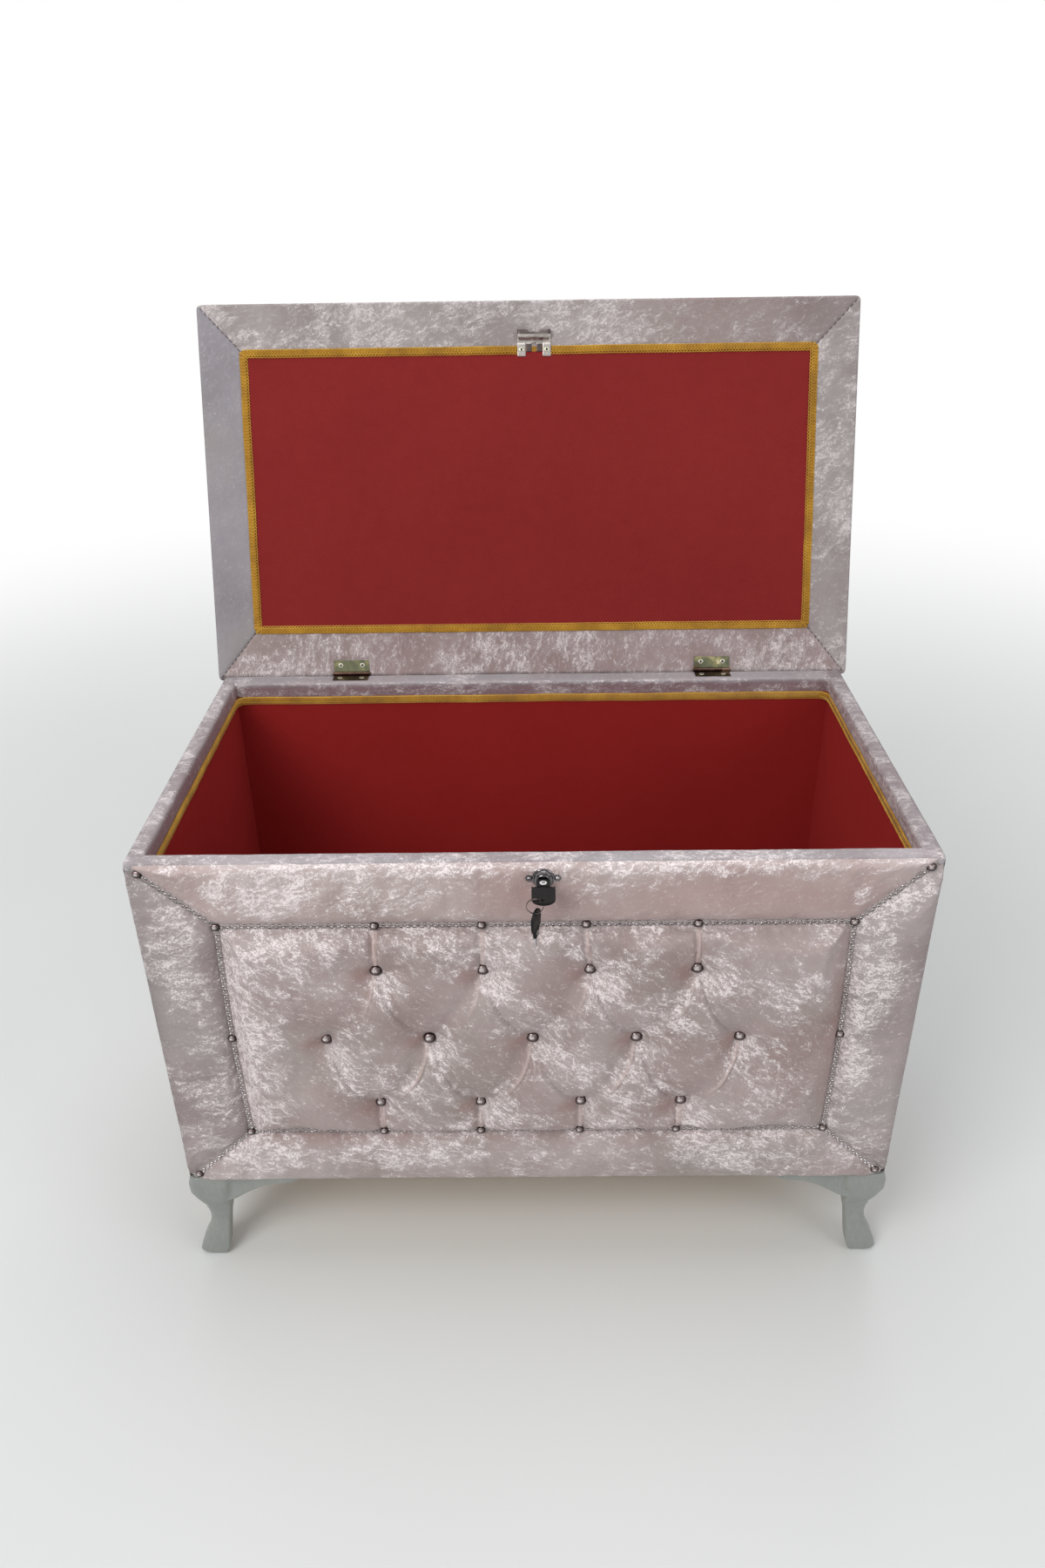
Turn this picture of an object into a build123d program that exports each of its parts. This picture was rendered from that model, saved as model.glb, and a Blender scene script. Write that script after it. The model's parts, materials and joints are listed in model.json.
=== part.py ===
"""Upholstered dowry chest on cabriole feet, lid standing open on its hinges, key in the lock."""
from build123d import *
import math
import os

# body, millimetres: x across, y from the front face to the back, z up from the floor
BODY_W = 880.0
BODY_D = 490.0
FOOT_H = 150.0
RIM_Z = 626.0
WALL_SIDE = 20.0
WALL_FRONT = 20.0
WALL_BACK = 27.0
COVER = 5.0
LINING = 3.0
FLOOR_BOARD = 12.0
WRAP_TOP = 3.0
BAND_DEPTH = 22.0
BRAID_W = 11.0
BRAID_T = 1.5
RIM_ROUND = 4.0
FRONT_BOARD_Y = 8.0

# upholstered front
PANEL_HALF_W = 350.0
PANEL_MARGIN_Z = 83.0
BORDER_CROWN = 10.0
PANEL_CROWN = 18.0
SEAM_Y = 1.0
TRIM_W = 8.0
TRIM_T = 3.0
NAIL_R = 5.8
NAIL_H = 3.8
NAIL_SHANK_R = 0.8
TUFT_PITCH = 120.5
TUFT_ROWS = ((145.0, 4, 3.0), (245.0, 5, -2.0), (345.0, 4, -5.5))
TOP_NAILS_X = (-175.0, -57.0, 58.0, 181.0)
BOTTOM_NAILS_X = (-186.0, -67.0, 54.0, 172.0)
SIDE_NAIL_DROP = 243.0

# lid
LID_W = 900.0
LID_OVER_BACK = 10.0
LID_OVER_FRONT = 11.0
LID_BOARD_T = 18.0
LID_FACING = 2.0
LID_THICK = 42.0
LID_EDGE_ROUND = 3.0
LID_TOP_ROUND = 11.0
OPEN_ANGLE = 108.4
LID_BRAID_X = 394.5
LID_BRAID_U0 = 57.4
LID_BRAID_U1 = 442.9

# hinges
HINGE_X = 257.7
HINGE_LEN = 50.0
LEAF_REACH = 18.75
LEAF_T = 1.2
BARREL_R = 2.5
PIN_R = 1.4
PIN_ABOVE_RIM = 1.3
KNUCKLE_GAP = 0.3
HINGE_SCREW_X = 15.5
HINGE_SCREW_U = 11.5
STOP_CLEARANCE = 0.35

# lock, keys and strike
LOCK_X = 11.0
LOCK_DROP = 17.0
ROSETTE_R = 12.0
ROSETTE_Y = -8.5
CASE_DROP = 7.0
EAR_X = 15.2
EAR_R = 3.9
CYLINDER_R = 7.0
PLUG_R = 5.5
CRANK_R = 4.243
CRANK_PIN_R = 1.3
CASE_D = 12.0
CASE_WALL = 1.5
BOLT_Y = 27.2
BOLT_T = 3.0
KEY_W = 25.0
KEY_NECK_W = 14.5
RING_R = 9.0
RING_WIRE = 0.5
STRIKE_X0 = -14.4
STRIKE_X1 = 31.0
STRIKE_STAND = 8.0
STRIKE_T = 1.2

# middle of the floor space the open chest takes up; the exported frame has its origin there
ORIGIN_Y = 312.7

HALF_W = BODY_W / 2
BODY_Z0 = FOOT_H
LOCK_Z = RIM_Z - LOCK_DROP
PANEL_Z0 = BODY_Z0 + PANEL_MARGIN_Z
PANEL_Z1 = RIM_Z - PANEL_MARGIN_Z
WRAP_Z0 = RIM_Z - WRAP_TOP
IN_X = HALF_W - WALL_SIDE
IN_Y0 = WALL_FRONT
IN_Y1 = BODY_D - WALL_BACK
THETA = math.radians(OPEN_ANGLE)
# the rounded lower back edge of the lid meets the back of the body at the open angle
_reach = LID_OVER_BACK - LID_EDGE_ROUND
_rise = PIN_ABOVE_RIM + LID_EDGE_ROUND
PIN_SETBACK = (LID_EDGE_ROUND + STOP_CLEARANCE - _reach * math.cos(THETA)
               - _rise * math.sin(THETA)) / (1 - math.cos(THETA))
PIN_Y = BODY_D + PIN_SETBACK
PIN_Z = RIM_Z + PIN_ABOVE_RIM
LID_U1 = PIN_Y + LID_OVER_FRONT
LID_U0 = PIN_Y - BODY_D - LID_OVER_BACK
UNDER = PIN_ABOVE_RIM


def block(x0, x1, y0, y1, z0, z1):
    """Box between two corners."""
    box = Box(x1 - x0, y1 - y0, z1 - z0)
    return Pos((x0 + x1) / 2, (y0 + y1) / 2, (z0 + z1) / 2) * box


def rod_y(x, z, y0, y1, radius):
    """Round bar along y."""
    bar = Rot(90, 0, 0) * Cylinder(radius, y1 - y0)
    return Pos(x, (y0 + y1) / 2, z) * bar


def rod_x(x0, x1, y, z, radius):
    """Round bar along x."""
    bar = Rot(0, 90, 0) * Cylinder(radius, x1 - x0)
    return Pos((x0 + x1) / 2, y, z) * bar


def rod_z(x, y, z0, z1, radius):
    """Round bar along z."""
    return Pos(x, y, (z0 + z1) / 2) * Cylinder(radius, z1 - z0)


def lid_block(x0, x1, u0, u1, w0, w1):
    """Box on the closed lid: u forward from the hinge pin, w up from it."""
    return block(x0, x1, PIN_Y - u1, PIN_Y - u0, PIN_Z + w0, PIN_Z + w1)


def turned_y(profile, x, z):
    """Solid turned about a line along y from (radius, y) points."""
    face = make_face(Polyline(*profile, close=True))
    return Pos(x, 0, z) * revolve(face, Axis.Y, 360)


def export(shape, node):
    """Write one node, moved into the exported frame."""
    export_step(Pos(0, -ORIGIN_Y, 0) * shape, "parts/%s.step" % node)


def opened(shape):
    """Swing a piece of the closed lid to where it stands open."""
    return shape.rotate(Axis((0, PIN_Y, PIN_Z), (1, 0, 0)), -OPEN_ANGLE)


def outline_face(points, y):
    """Face in a plane of constant y from (x, z) points."""
    return make_face(Polyline(*[(x, y, z) for x, z in points], close=True))


def inset(points, d):
    """Move every side of a convex outline inwards by d."""
    count = len(points)
    cx = sum(p[0] for p in points) / count
    cz = sum(p[1] for p in points) / count
    sides = []
    for i in range(count):
        (x0, z0), (x1, z1) = points[i], points[(i + 1) % count]
        length = math.hypot(x1 - x0, z1 - z0)
        nx, nz = (z1 - z0) / length, (x0 - x1) / length
        if (cx - x0) * nx + (cz - z0) * nz < 0:
            nx, nz = -nx, -nz
        sides.append((nx, nz, nx * x0 + nz * z0 + d))
    corners = []
    for i in range(count):
        a, b = sides[i - 1], sides[i]
        det = a[0] * b[1] - a[1] * b[0]
        corners.append(((a[2] * b[1] - a[1] * b[2]) / det, (a[0] * b[2] - a[2] * b[0]) / det))
    return corners


def pad(points, crown):
    """Stuffed pad: a flat sewn margin, then a rounded crown."""
    base = extrude(outline_face(points, FRONT_BOARD_Y), FRONT_BOARD_Y - SEAM_Y, dir=(0, -1, 0))
    rise = SEAM_Y + crown
    steps = ((0, 0.0), (2, 0.08), (5, 0.48), (10, 0.76), (18, 0.92), (31, 1.0))
    sections = [outline_face(inset(points, TRIM_W / 2 + d), SEAM_Y - rise * k) for d, k in steps]
    return base + loft(sections, ruled=True)


def tuft_points():
    """Button positions (x, z) of the centre pad."""
    points = []
    for drop, count, centre in TUFT_ROWS:
        for i in range(count):
            points.append((centre + (i - (count - 1) / 2) * TUFT_PITCH, RIM_Z - drop))
    return points


def nail_points():
    """Nail positions (x, z) on the bead trim."""
    top = RIM_Z - 12.0
    low = BODY_Z0 + 10.0
    points = [(-424.0, top), (424.0, top), (-425.0, low), (425.0, low)]
    for x in (-PANEL_HALF_W, PANEL_HALF_W):
        points += [(x, PANEL_Z0), (x, PANEL_Z1), (x, RIM_Z - SIDE_NAIL_DROP)]
    points += [(x, PANEL_Z1) for x in TOP_NAILS_X]
    points += [(x, PANEL_Z0) for x in BOTTOM_NAILS_X]
    return points


def square_shank(x, z, y0, y1, half):
    """Square wire shank along y."""
    return block(x - half, x + half, y0, y1, z - half, z + half)


def domed_nail(x, z, seat):
    """Domed head on a square shank driven through the padding into the board."""
    r, h = NAIL_R, NAIL_H
    profile = [(0, seat), (r, seat), (r * 0.9, seat - h * 0.42), (r * 0.66, seat - h * 0.76),
               (r * 0.34, seat - h * 0.95), (0, seat - h)]
    return turned_y(profile, x, z) + square_shank(x, z, seat - 1.0, FRONT_BOARD_Y + 6, NAIL_SHANK_R)


def nail_holes(points):
    """Holes that the shanks leave in padding and board."""
    return [square_shank(x, z, -30, FRONT_BOARD_Y + 6.3, NAIL_SHANK_R + 0.1) for x, z in points]


def corner_seats():
    """Dents that the heads of the four outer corner nails press into the pads beside their seams."""
    seat = SEAM_Y - TRIM_T
    return [rod_y(x, z, -30, seat + 0.1, NAIL_R + 0.3) for x, z in nail_points()[:4]]


def bead_trim():
    """Trim strip round the centre pad with a strip along each corner seam."""
    half = TRIM_W / 2
    x, z0, z1 = PANEL_HALF_W, PANEL_Z0, PANEL_Z1
    front = SEAM_Y - TRIM_T
    ring = block(-x - half, x + half, front, SEAM_Y, z0 - half, z1 + half)
    ring -= block(-x + half, x - half, front - 1, SEAM_Y + 1, z0 + half, z1 - half)
    part = 0.87
    for sx in (-1, 1):
        for seam_z, corner_z in ((z1, WRAP_Z0), (z0, BODY_Z0)):
            dx, dz = sx * (HALF_W - x) * part, (corner_z - seam_z) * part
            strip = block(0, math.hypot(dx, dz), front, SEAM_Y, -half, half)
            strip = Rot(0, -math.degrees(math.atan2(dz, dx)), 0) * strip
            ring += Pos(sx * x, 0, seam_z) * strip
    return ring


def front_upholstery(frontal, holes):
    """Four mitred border pads, the buttoned centre pad and the trim between them."""
    x, z0, z1 = PANEL_HALF_W, PANEL_Z0, PANEL_Z1
    top, low = WRAP_Z0, BODY_Z0
    outlines = {
        "border_pad_top": [(-HALF_W, top), (HALF_W, top), (x, z1), (-x, z1)],
        "border_pad_bottom": [(-HALF_W, low), (-x, z0), (x, z0), (HALF_W, low)],
        "border_pad_left": [(-HALF_W, top), (-x, z1), (-x, z0), (-HALF_W, low)],
        "border_pad_right": [(HALF_W, top), (HALF_W, low), (x, z0), (x, z1)],
    }
    for node, points in outlines.items():
        shape = pad(points, BORDER_CROWN) - holes - corner_seats()
        if node == "border_pad_top":
            shape -= frontal
        export(shape, node)
    panel = pad([(-x, z0), (x, z0), (x, z1), (-x, z1)], PANEL_CROWN)
    for tx, tz in tuft_points():
        cone = Rot(90, 0, 0) * Cone(7.0, 27.0, 19.0)
        panel -= Pos(tx, SEAM_Y - 9.5, tz) * cone
    export(panel - holes, "tufted_panel_pad")
    export(bead_trim() - holes, "bead_trim")


def walls(lock_hole, nails):
    """Boards of the box, standing on the floor board."""
    z0, z1 = BODY_Z0 + FLOOR_BOARD, WRAP_Z0
    x_out, x_in = HALF_W - COVER, IN_X + LINING
    y_front, y_back = FRONT_BOARD_Y, BODY_D - COVER
    side = block(x_in, x_out, y_front, y_back, z0, z1)
    export(side - nails, "right_board")
    export(mirror(side, Plane.YZ) - nails, "left_board")
    front = block(-x_in, x_in, y_front, IN_Y0 - LINING, z0, z1)
    export(front - lock_hole - nails, "front_board")
    back = block(-x_in, x_in, IN_Y1 + LINING, y_back, z0, z1)
    export(back - hinge_screw_holes(), "back_board")
    floor = block(-x_out, x_out, y_front, y_back, BODY_Z0, z0)
    export(floor - foot_screw_solids(0.1) - nails, "floor_board")


def coverings():
    """Plain covers of the sides and the back."""
    z0, z1 = BODY_Z0, WRAP_Z0
    side = block(HALF_W - COVER, HALF_W, FRONT_BOARD_Y, BODY_D, z0, z1)
    corner = side.edges().filter_by(Axis.Z).sort_by(lambda e: e.center().X + e.center().Y)[-1]
    side = fillet(corner, COVER * 0.9)
    export(side, "right_cover")
    export(mirror(side, Plane.YZ), "left_cover")
    inner = HALF_W - COVER
    export(block(-inner, inner, BODY_D - COVER, BODY_D, z0, z1), "back_cover")


def linings(lock_hole):
    """Cloth lining of the floor and the four walls, up to the band below the rim."""
    z0 = BODY_Z0 + FLOOR_BOARD
    z1 = z0 + LINING
    top = RIM_Z - BAND_DEPTH
    outer_x = IN_X + LINING
    outer_y0, outer_y1 = IN_Y0 - LINING, IN_Y1 + LINING
    export(block(-outer_x, outer_x, outer_y0, outer_y1, z0, z1), "floor_lining")
    export(block(-outer_x, -IN_X, outer_y0, outer_y1, z1, top), "left_lining")
    export(block(IN_X, outer_x, outer_y0, outer_y1, z1, top), "right_lining")
    export(block(-IN_X, IN_X, IN_Y1, outer_y1, z1, top), "back_lining")
    export(block(-IN_X, IN_X, outer_y0, IN_Y0, z1, top) - lock_hole, "front_lining")


def rim_wrap(lock_hole):
    """Velvet over the rim: a rounded cap and a band down the inside."""
    middle_y = BODY_D / 2
    inner_mid = (IN_Y0 + IN_Y1) / 2
    outer = Pos(0, middle_y, WRAP_Z0) * extrude(RectangleRounded(BODY_W, BODY_D, 5), WRAP_TOP)
    outer = fillet(outer.edges().group_by(Axis.Z)[-1], WRAP_TOP * 0.9)
    band_z0 = RIM_Z - BAND_DEPTH
    band = block(-IN_X - LINING, IN_X + LINING, IN_Y0 - LINING, IN_Y1 + LINING, band_z0, WRAP_Z0)
    hollow = block(-IN_X, IN_X, IN_Y0, IN_Y1, band_z0 - 1, RIM_Z + 1)
    hollow = fillet(hollow.edges().filter_by(Axis.Z), 3.0)
    wrap = outer + band - hollow
    for sx in (-1, 1):
        wrap -= block(sx * HINGE_X - HINGE_LEN / 2, sx * HINGE_X + HINGE_LEN / 2,
                      PIN_Y - LEAF_REACH, PIN_Y, RIM_Z - LEAF_T, RIM_Z + 1)
    export(wrap - lock_hole - hinge_screw_holes(), "rim_wrap")
    width, depth = 2 * IN_X, IN_Y1 - IN_Y0
    braid_z = band_z0 - BRAID_W
    braid = extrude(RectangleRounded(width, depth, 15), BRAID_W)
    braid -= extrude(RectangleRounded(width - 2 * BRAID_T, depth - 2 * BRAID_T, 13.5), BRAID_W)
    braid = Pos(0, inner_mid, braid_z) * braid
    export(braid - block(-14, 38, IN_Y0 - 1, IN_Y0 + 9, braid_z - 1, braid_z + 30), "rim_braid")


def foot_screw_spots():
    """Places (x, y) of the screws that hold the left front foot, from the body corner."""
    return ((25.0, 25.0), (72.0, 12.5), (12.5, 72.0))


def foot_places():
    """Corner (x, y) and inward signs for the four feet."""
    return (("foot_front_left", -HALF_W, 0.0, 1, 1), ("foot_front_right", HALF_W, 0.0, -1, 1),
            ("foot_back_left", -HALF_W, BODY_D, 1, -1), ("foot_back_right", HALF_W, BODY_D, -1, -1))


def foot_screw_solids(room=0.0):
    """Countersunk screws through the floor board into the feet, or the room for them."""
    z1 = BODY_Z0 + FLOOR_BOARD
    thick, tip = 1.8 + room, 26.0 + room
    profile = [(0, z1), (3.6 + room, z1), (thick, z1 - 2.4), (thick, z1 - tip), (0, z1 - tip - 3)]
    screw = revolve(make_face(Polyline(*[(r, 0, z) for r, z in profile], close=True)), Axis.Z, 360)
    screws = []
    for node, cx, cy, sx, sy in foot_places():
        for dx, dy in foot_screw_spots():
            screws.append(Pos(cx + sx * dx, cy + sy * dy, 0) * screw)
    return screws


def foot():
    """Cabriole foot at the corner (0, 0): knee, ankle and toe, with a wing along each side."""
    # height, outer face and inner face measured from the body corner, corner rounding
    levels = ((150.0, -1.0, 50.0, 8.0), (138.0, -4.0, 49.6, 9.5), (124.0, -4.0, 48.3, 10.5), (106.0, 1.4, 45.4, 10.0),
              (88.0, 8.0, 42.0, 9.5), (70.0, 12.6, 38.6, 9.0), (54.0, 12.8, 36.4, 8.4), (40.0, 8.0, 35.0, 8.6),
              (27.0, -0.8, 33.4, 10.0), (16.0, -8.0, 31.8, 12.6), (9.0, -8.6, 30.4, 13.0), (3.0, -4.6, 27.8, 10.5),
              (0.0, 0.0, 25.0, 8.0))
    sections = []
    for z, outer, inner, round_r in levels:
        middle = (outer + inner) / 2
        size = inner - outer
        sections.append(Pos(middle, middle, z) * RectangleRounded(size, size, round_r))
    leg = loft(sections, ruled=True)
    lower = Spline((141.0, 2, 146.0), (128.0, 2, 137.5), (104.0, 2, 134.0), (80.0, 2, 125.5),
                   (60.0, 2, 113.0), (43.0, 2, 104.0), tangents=[(-1, 0, -1.2), (-1, 0, -0.45)])
    top = Polyline((43.0, 2, 104.0), (25.0, 2, 108.0), (25.0, 2, 150.0), (141.0, 2, 150.0), (141.0, 2, 146.0))
    wing = extrude(make_face(Curve() + [lower, top]), 15.0, dir=(0, 1, 0))
    front_edges = wing.edges().group_by(Axis.Y)[0].filter_by(lambda e: e.center().Z < 149.0)
    front_edges = [e for e in front_edges if e.center().X > 50]
    wing = chamfer(front_edges, 2.0)
    other = mirror(wing, Plane.YZ).rotate(Axis.Z, -90)
    return leg + wing + other


def feet():
    """The four feet and their screws."""
    room = foot_screw_solids(0.1)
    shape = foot()
    for node, cx, cy, sx, sy in foot_places():
        placed = shape
        if sx < 0:
            placed = mirror(placed, Plane.YZ)
        if sy < 0:
            placed = mirror(placed, Plane.XZ)
        export(Pos(cx, cy, 0) * placed - room, node)
    export(Compound(children=foot_screw_solids()), "foot_screws")


def knuckle_span(index):
    """Start and end of one of the five barrel knuckles."""
    pitch = HINGE_LEN / 5
    return -HINGE_LEN / 2 + index * pitch, -HINGE_LEN / 2 + (index + 1) * pitch


def hinge_leaf(own, other, w0):
    """Leaf with its knuckles about the x axis: u forward is -y, w is z."""
    half = HINGE_LEN / 2
    leaf = block(-half, half, -LEAF_REACH, 0, w0, w0 + LEAF_T)
    corners = leaf.edges().filter_by(Axis.Z).group_by(Axis.Y)[0]
    leaf = fillet(corners, 1.2)
    for i in other:
        a, b = knuckle_span(i)
        leaf -= rod_x(a - KNUCKLE_GAP / 2, b + KNUCKLE_GAP / 2, 0, 0, BARREL_R + 0.4)
    for i in own:
        a, b = knuckle_span(i)
        leaf += rod_x(a + KNUCKLE_GAP / 2, b - KNUCKLE_GAP / 2, 0, 0, BARREL_R)
    leaf -= rod_x(-half - 1, half + 1, 0, 0, PIN_R + 0.05)
    return leaf


def countersunk(length, up):
    """Countersunk screw at the origin with its flat head face at z 0, pointing down or up."""
    head = [(0, 0), (3.4, 0), (1.6, -2.0), (1.6, -length + 3), (0, -length)]
    face = make_face(Polyline(*[(r, 0, z) for r, z in head], close=True))
    screw = revolve(face, Axis.Z, 360)
    screw -= block(-2.2, 2.2, -0.35, 0.35, -0.8, 1)
    screw -= block(-0.35, 0.35, -2.2, 2.2, -0.8, 1)
    return screw.rotate(Axis.X, 180) if up else screw


def hinge_screw_holes():
    """Room for the screws of the rim leaves."""
    holes = []
    for sx in (-1, 1):
        for dx in (-HINGE_SCREW_X, HINGE_SCREW_X):
            x, y = sx * HINGE_X + dx, PIN_Y - HINGE_SCREW_U
            holes.append(Pos(x, y, RIM_Z) * Cone(1.6, 3.4, 2.0, align=(Align.CENTER, Align.CENTER, Align.MAX)))
            holes.append(rod_z(x, y, RIM_Z - 22, RIM_Z, 1.6))
    return holes


def lid_screw_holes():
    """Room for the screws of the lid leaves and of the strike, on the closed lid."""
    holes = []
    places = [(sx * HINGE_X + dx, HINGE_SCREW_U, UNDER) for sx in (-1, 1) for dx in (-HINGE_SCREW_X, HINGE_SCREW_X)]
    places += [(x, STRIKE_SCREW_U, UNDER - STRIKE_T) for x in STRIKE_SCREWS_X]
    for x, u, w in places:
        cone = Cone(3.4, 1.6, 2.0, align=(Align.CENTER, Align.CENTER, Align.MIN))
        holes.append(Pos(x, PIN_Y - u, PIN_Z + w) * cone)
        holes.append(rod_z(x, PIN_Y - u, PIN_Z + w, PIN_Z + w + 16, 1.6))
    return holes


STRIKE_SCREW_U = 438.0
STRIKE_SCREWS_X = (STRIKE_X0 + 5.5, STRIKE_X1 - 5.5)


def hinges():
    """Two butt hinges: rim leaf, lid leaf, pin and screws."""
    pins, box_screws, lid_screws = [], [], []
    for name, sx in (("left", -1), ("right", 1)):
        at = Pos(sx * HINGE_X, PIN_Y, PIN_Z)
        rim_leaf = at * hinge_leaf((0, 2, 4), (1, 3), -PIN_ABOVE_RIM - LEAF_T)
        export(rim_leaf - hinge_screw_holes(), "hinge_rim_leaf_" + name)
        lid_leaf = at * hinge_leaf((1, 3), (0, 2, 4), PIN_ABOVE_RIM)
        export(opened(lid_leaf - lid_screw_holes()), "hinge_lid_leaf_" + name)
        half = HINGE_LEN / 2
        pin = rod_x(-half - 0.2, half + 0.2, 0, 0, PIN_R)
        for end in (-half - 1.6, half + 0.2):
            pin += rod_x(end, end + 1.4, 0, 0, 2.1)
        pins.append(at * pin)
        for dx in (-HINGE_SCREW_X, HINGE_SCREW_X):
            x, y = sx * HINGE_X + dx, PIN_Y - HINGE_SCREW_U
            box_screws.append(Pos(x, y, RIM_Z) * countersunk(20, False))
            lid_screws.append(opened(Pos(x, y, PIN_Z + UNDER) * countersunk(15, True)))
    export(Compound(children=pins), "hinge_pins")
    export(Compound(children=box_screws), "rim_leaf_screws")
    export(Compound(children=lid_screws), "lid_leaf_screws")


def lid():
    """Lid: board, stuffed cover, mitred velvet facing, cloth panel and braid."""
    half = LID_W / 2
    side = COVER
    cover = lid_block(-half, half, LID_U0, LID_U1, UNDER, UNDER + LID_THICK)
    cover = fillet(cover.edges().filter_by(Axis.Z), 7.0)
    cover = fillet(cover.edges().group_by(Axis.Z)[-1], LID_TOP_ROUND)
    cover = fillet(cover.edges().group_by(Axis.Z)[0], LID_EDGE_ROUND)
    bx, u0, u1 = half - side, LID_U0 + side, LID_U1 - side
    w_board = UNDER + LID_FACING
    board = lid_block(-bx, bx, u0, u1, w_board, w_board + LID_BOARD_T)
    cover -= lid_block(-bx, bx, u0, u1, UNDER - 1, w_board + LID_BOARD_T)
    grooves = []
    pockets = []
    for sx in (-1, 1):
        reach = HINGE_LEN / 2 + 2.2
        grooves.append(rod_x(sx * HINGE_X - reach, sx * HINGE_X + reach, PIN_Y, PIN_Z, BARREL_R + 0.6))
        pockets.append(lid_block(sx * HINGE_X - HINGE_LEN / 2, sx * HINGE_X + HINGE_LEN / 2, 0, LEAF_REACH,
                                 UNDER - 1, UNDER + LEAF_T))
    screws = lid_screw_holes()
    export(opened(cover - grooves), "lid_cover")
    export(opened(board - grooves - screws), "lid_board")
    ix, iu0, iu1 = LID_BRAID_X - BRAID_W / 2, LID_BRAID_U0 + BRAID_W / 2, LID_BRAID_U1 - BRAID_W / 2
    facing_corners = {
        "lid_facing_back": [(-bx, u0), (bx, u0), (ix, iu0), (-ix, iu0)],
        "lid_facing_front": [(-ix, iu1), (ix, iu1), (bx, u1), (-bx, u1)],
        "lid_facing_left": [(-bx, u0), (-ix, iu0), (-ix, iu1), (-bx, u1)],
        "lid_facing_right": [(bx, u0), (ix, iu0), (ix, iu1), (bx, u1)],
    }
    for node, corners in facing_corners.items():
        points = [(x, PIN_Y - u, PIN_Z + UNDER) for x, u in corners]
        facing = extrude(make_face(Polyline(*points, close=True)), LID_FACING, dir=(0, 0, 1))
        export(opened(facing - grooves - pockets - screws), node)
    panel = lid_block(-ix, ix, iu0, iu1, UNDER, w_board)
    export(opened(panel - screws), "lid_lining")
    ox, ou0, ou1 = LID_BRAID_X, LID_BRAID_U0, LID_BRAID_U1
    braid = lid_block(-ox, ox, ou0, ou1, UNDER - BRAID_T, UNDER)
    braid -= lid_block(-ox + BRAID_W, ox - BRAID_W, ou0 + BRAID_W, ou1 - BRAID_W, UNDER - 3, UNDER + 1)
    braid -= lid_block(STRIKE_X0 - 0.5, STRIKE_X1 + 0.5, ou1 - 20, ou1 + 5, UNDER - 3, UNDER + 1)
    export(opened(braid), "lid_braid")


def strike():
    """Bent strike plate: two screw tabs, two short tongues, a riser and a notched ledge."""
    t = STRIKE_T
    u_tab, u_rise, u_ledge, u_edge = 429.3, 449.2, 453.6, 463.6
    ledge = UNDER - STRIKE_STAND
    points = [(u_tab, UNDER), (u_rise + 0.6, UNDER), (u_ledge + 0.5, ledge), (u_edge, ledge), (u_edge, ledge - t),
              (u_ledge - 0.4, ledge - t), (u_rise - 0.3, UNDER - t), (u_tab, UNDER - t)]
    face = make_face(Polyline(*[(STRIKE_X0, PIN_Y - u, PIN_Z + w) for u, w in points], close=True))
    plate = extrude(face, STRIKE_X1 - STRIKE_X0, dir=(1, 0, 0))
    middle = (STRIKE_X0 + STRIKE_X1) / 2
    tab = 11.0
    plate -= lid_block(STRIKE_X0 + tab, STRIKE_X0 + tab + 1.0, u_tab - 1, u_rise - 0.5, -3, 3)
    plate -= lid_block(STRIKE_X1 - tab - 1.0, STRIKE_X1 - tab, u_tab - 1, u_rise - 0.5, -3, 3)
    plate -= lid_block(STRIKE_X0 + tab, STRIKE_X1 - tab, u_tab - 1, u_tab + 6.0, -3, 3)
    plate -= lid_block(middle - 3.6, middle + 3.6, u_tab - 1, u_rise - 0.5, -3, 3)
    plate -= lid_block(middle - 11.0, middle + 11.0, u_edge - 5.0, u_edge + 1, ledge - 3, ledge + 3)
    export(opened(plate - lid_screw_holes()), "strike_plate")
    screws = []
    for x in STRIKE_SCREWS_X:
        place = Pos(x, PIN_Y - STRIKE_SCREW_U, PIN_Z + UNDER - STRIKE_T)
        screws.append(opened(place * countersunk(15, True)))
    export(Compound(children=screws), "strike_screws")


def lock_case():
    """Surface lock case inside the front wall with a slot for the hook, and its screws."""
    x0, x1, z0, z1 = -4.5, 29.0, LOCK_Z - 23, RIM_Z - CASE_DROP
    y0, y1, t = IN_Y0, IN_Y0 + CASE_D, CASE_WALL
    case = block(x0, x1, y0, y1, z0, z1)
    case = fillet(case.edges().filter_by(Axis.Z).group_by(Axis.Y)[-1], 2.0)
    case -= block(x0 + t, x1 - t, y0 + t, y1 - t, z0 + t, z1 - t)
    case -= block(5.9, 19.1, BOLT_Y - 0.4, BOLT_Y + BOLT_T + 0.4, z1 - t - 1, z1 + 1)
    case -= rod_y(LOCK_X, LOCK_Z, y0 - 1, y0 + t + 1, CYLINDER_R)
    screws = []
    for edge, away in ((x0, -1), (x1, 1)):
        ear = block(min(edge, edge + 8 * away), max(edge, edge + 8 * away), y0, y0 + t, z0 + 2, z1 - 2)
        case += ear
        for z in (z0 + 7, z1 - 7):
            x = edge + 4.2 * away
            screw = rod_y(x, z, y0 - 9, y0 + t, 1.3) + rod_y(x, z, y0 + t, y0 + t + 1.3, 2.6)
            case -= rod_y(x, z, y0 - 1, y0 + t + 1, 1.3)
            screws.append(screw)
    export(case, "lock_case")
    export(Compound(children=screws), "lock_case_screws")


def lock_case_screw_holes():
    """Room for the case screws in the wall."""
    z0, z1 = LOCK_Z - 23, RIM_Z - CASE_DROP
    return [rod_y(x, z, IN_Y0 - 9, IN_Y0 + 1, 1.3) for x in (-8.7, 33.2) for z in (z0 + 7, z1 - 7)]


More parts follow.
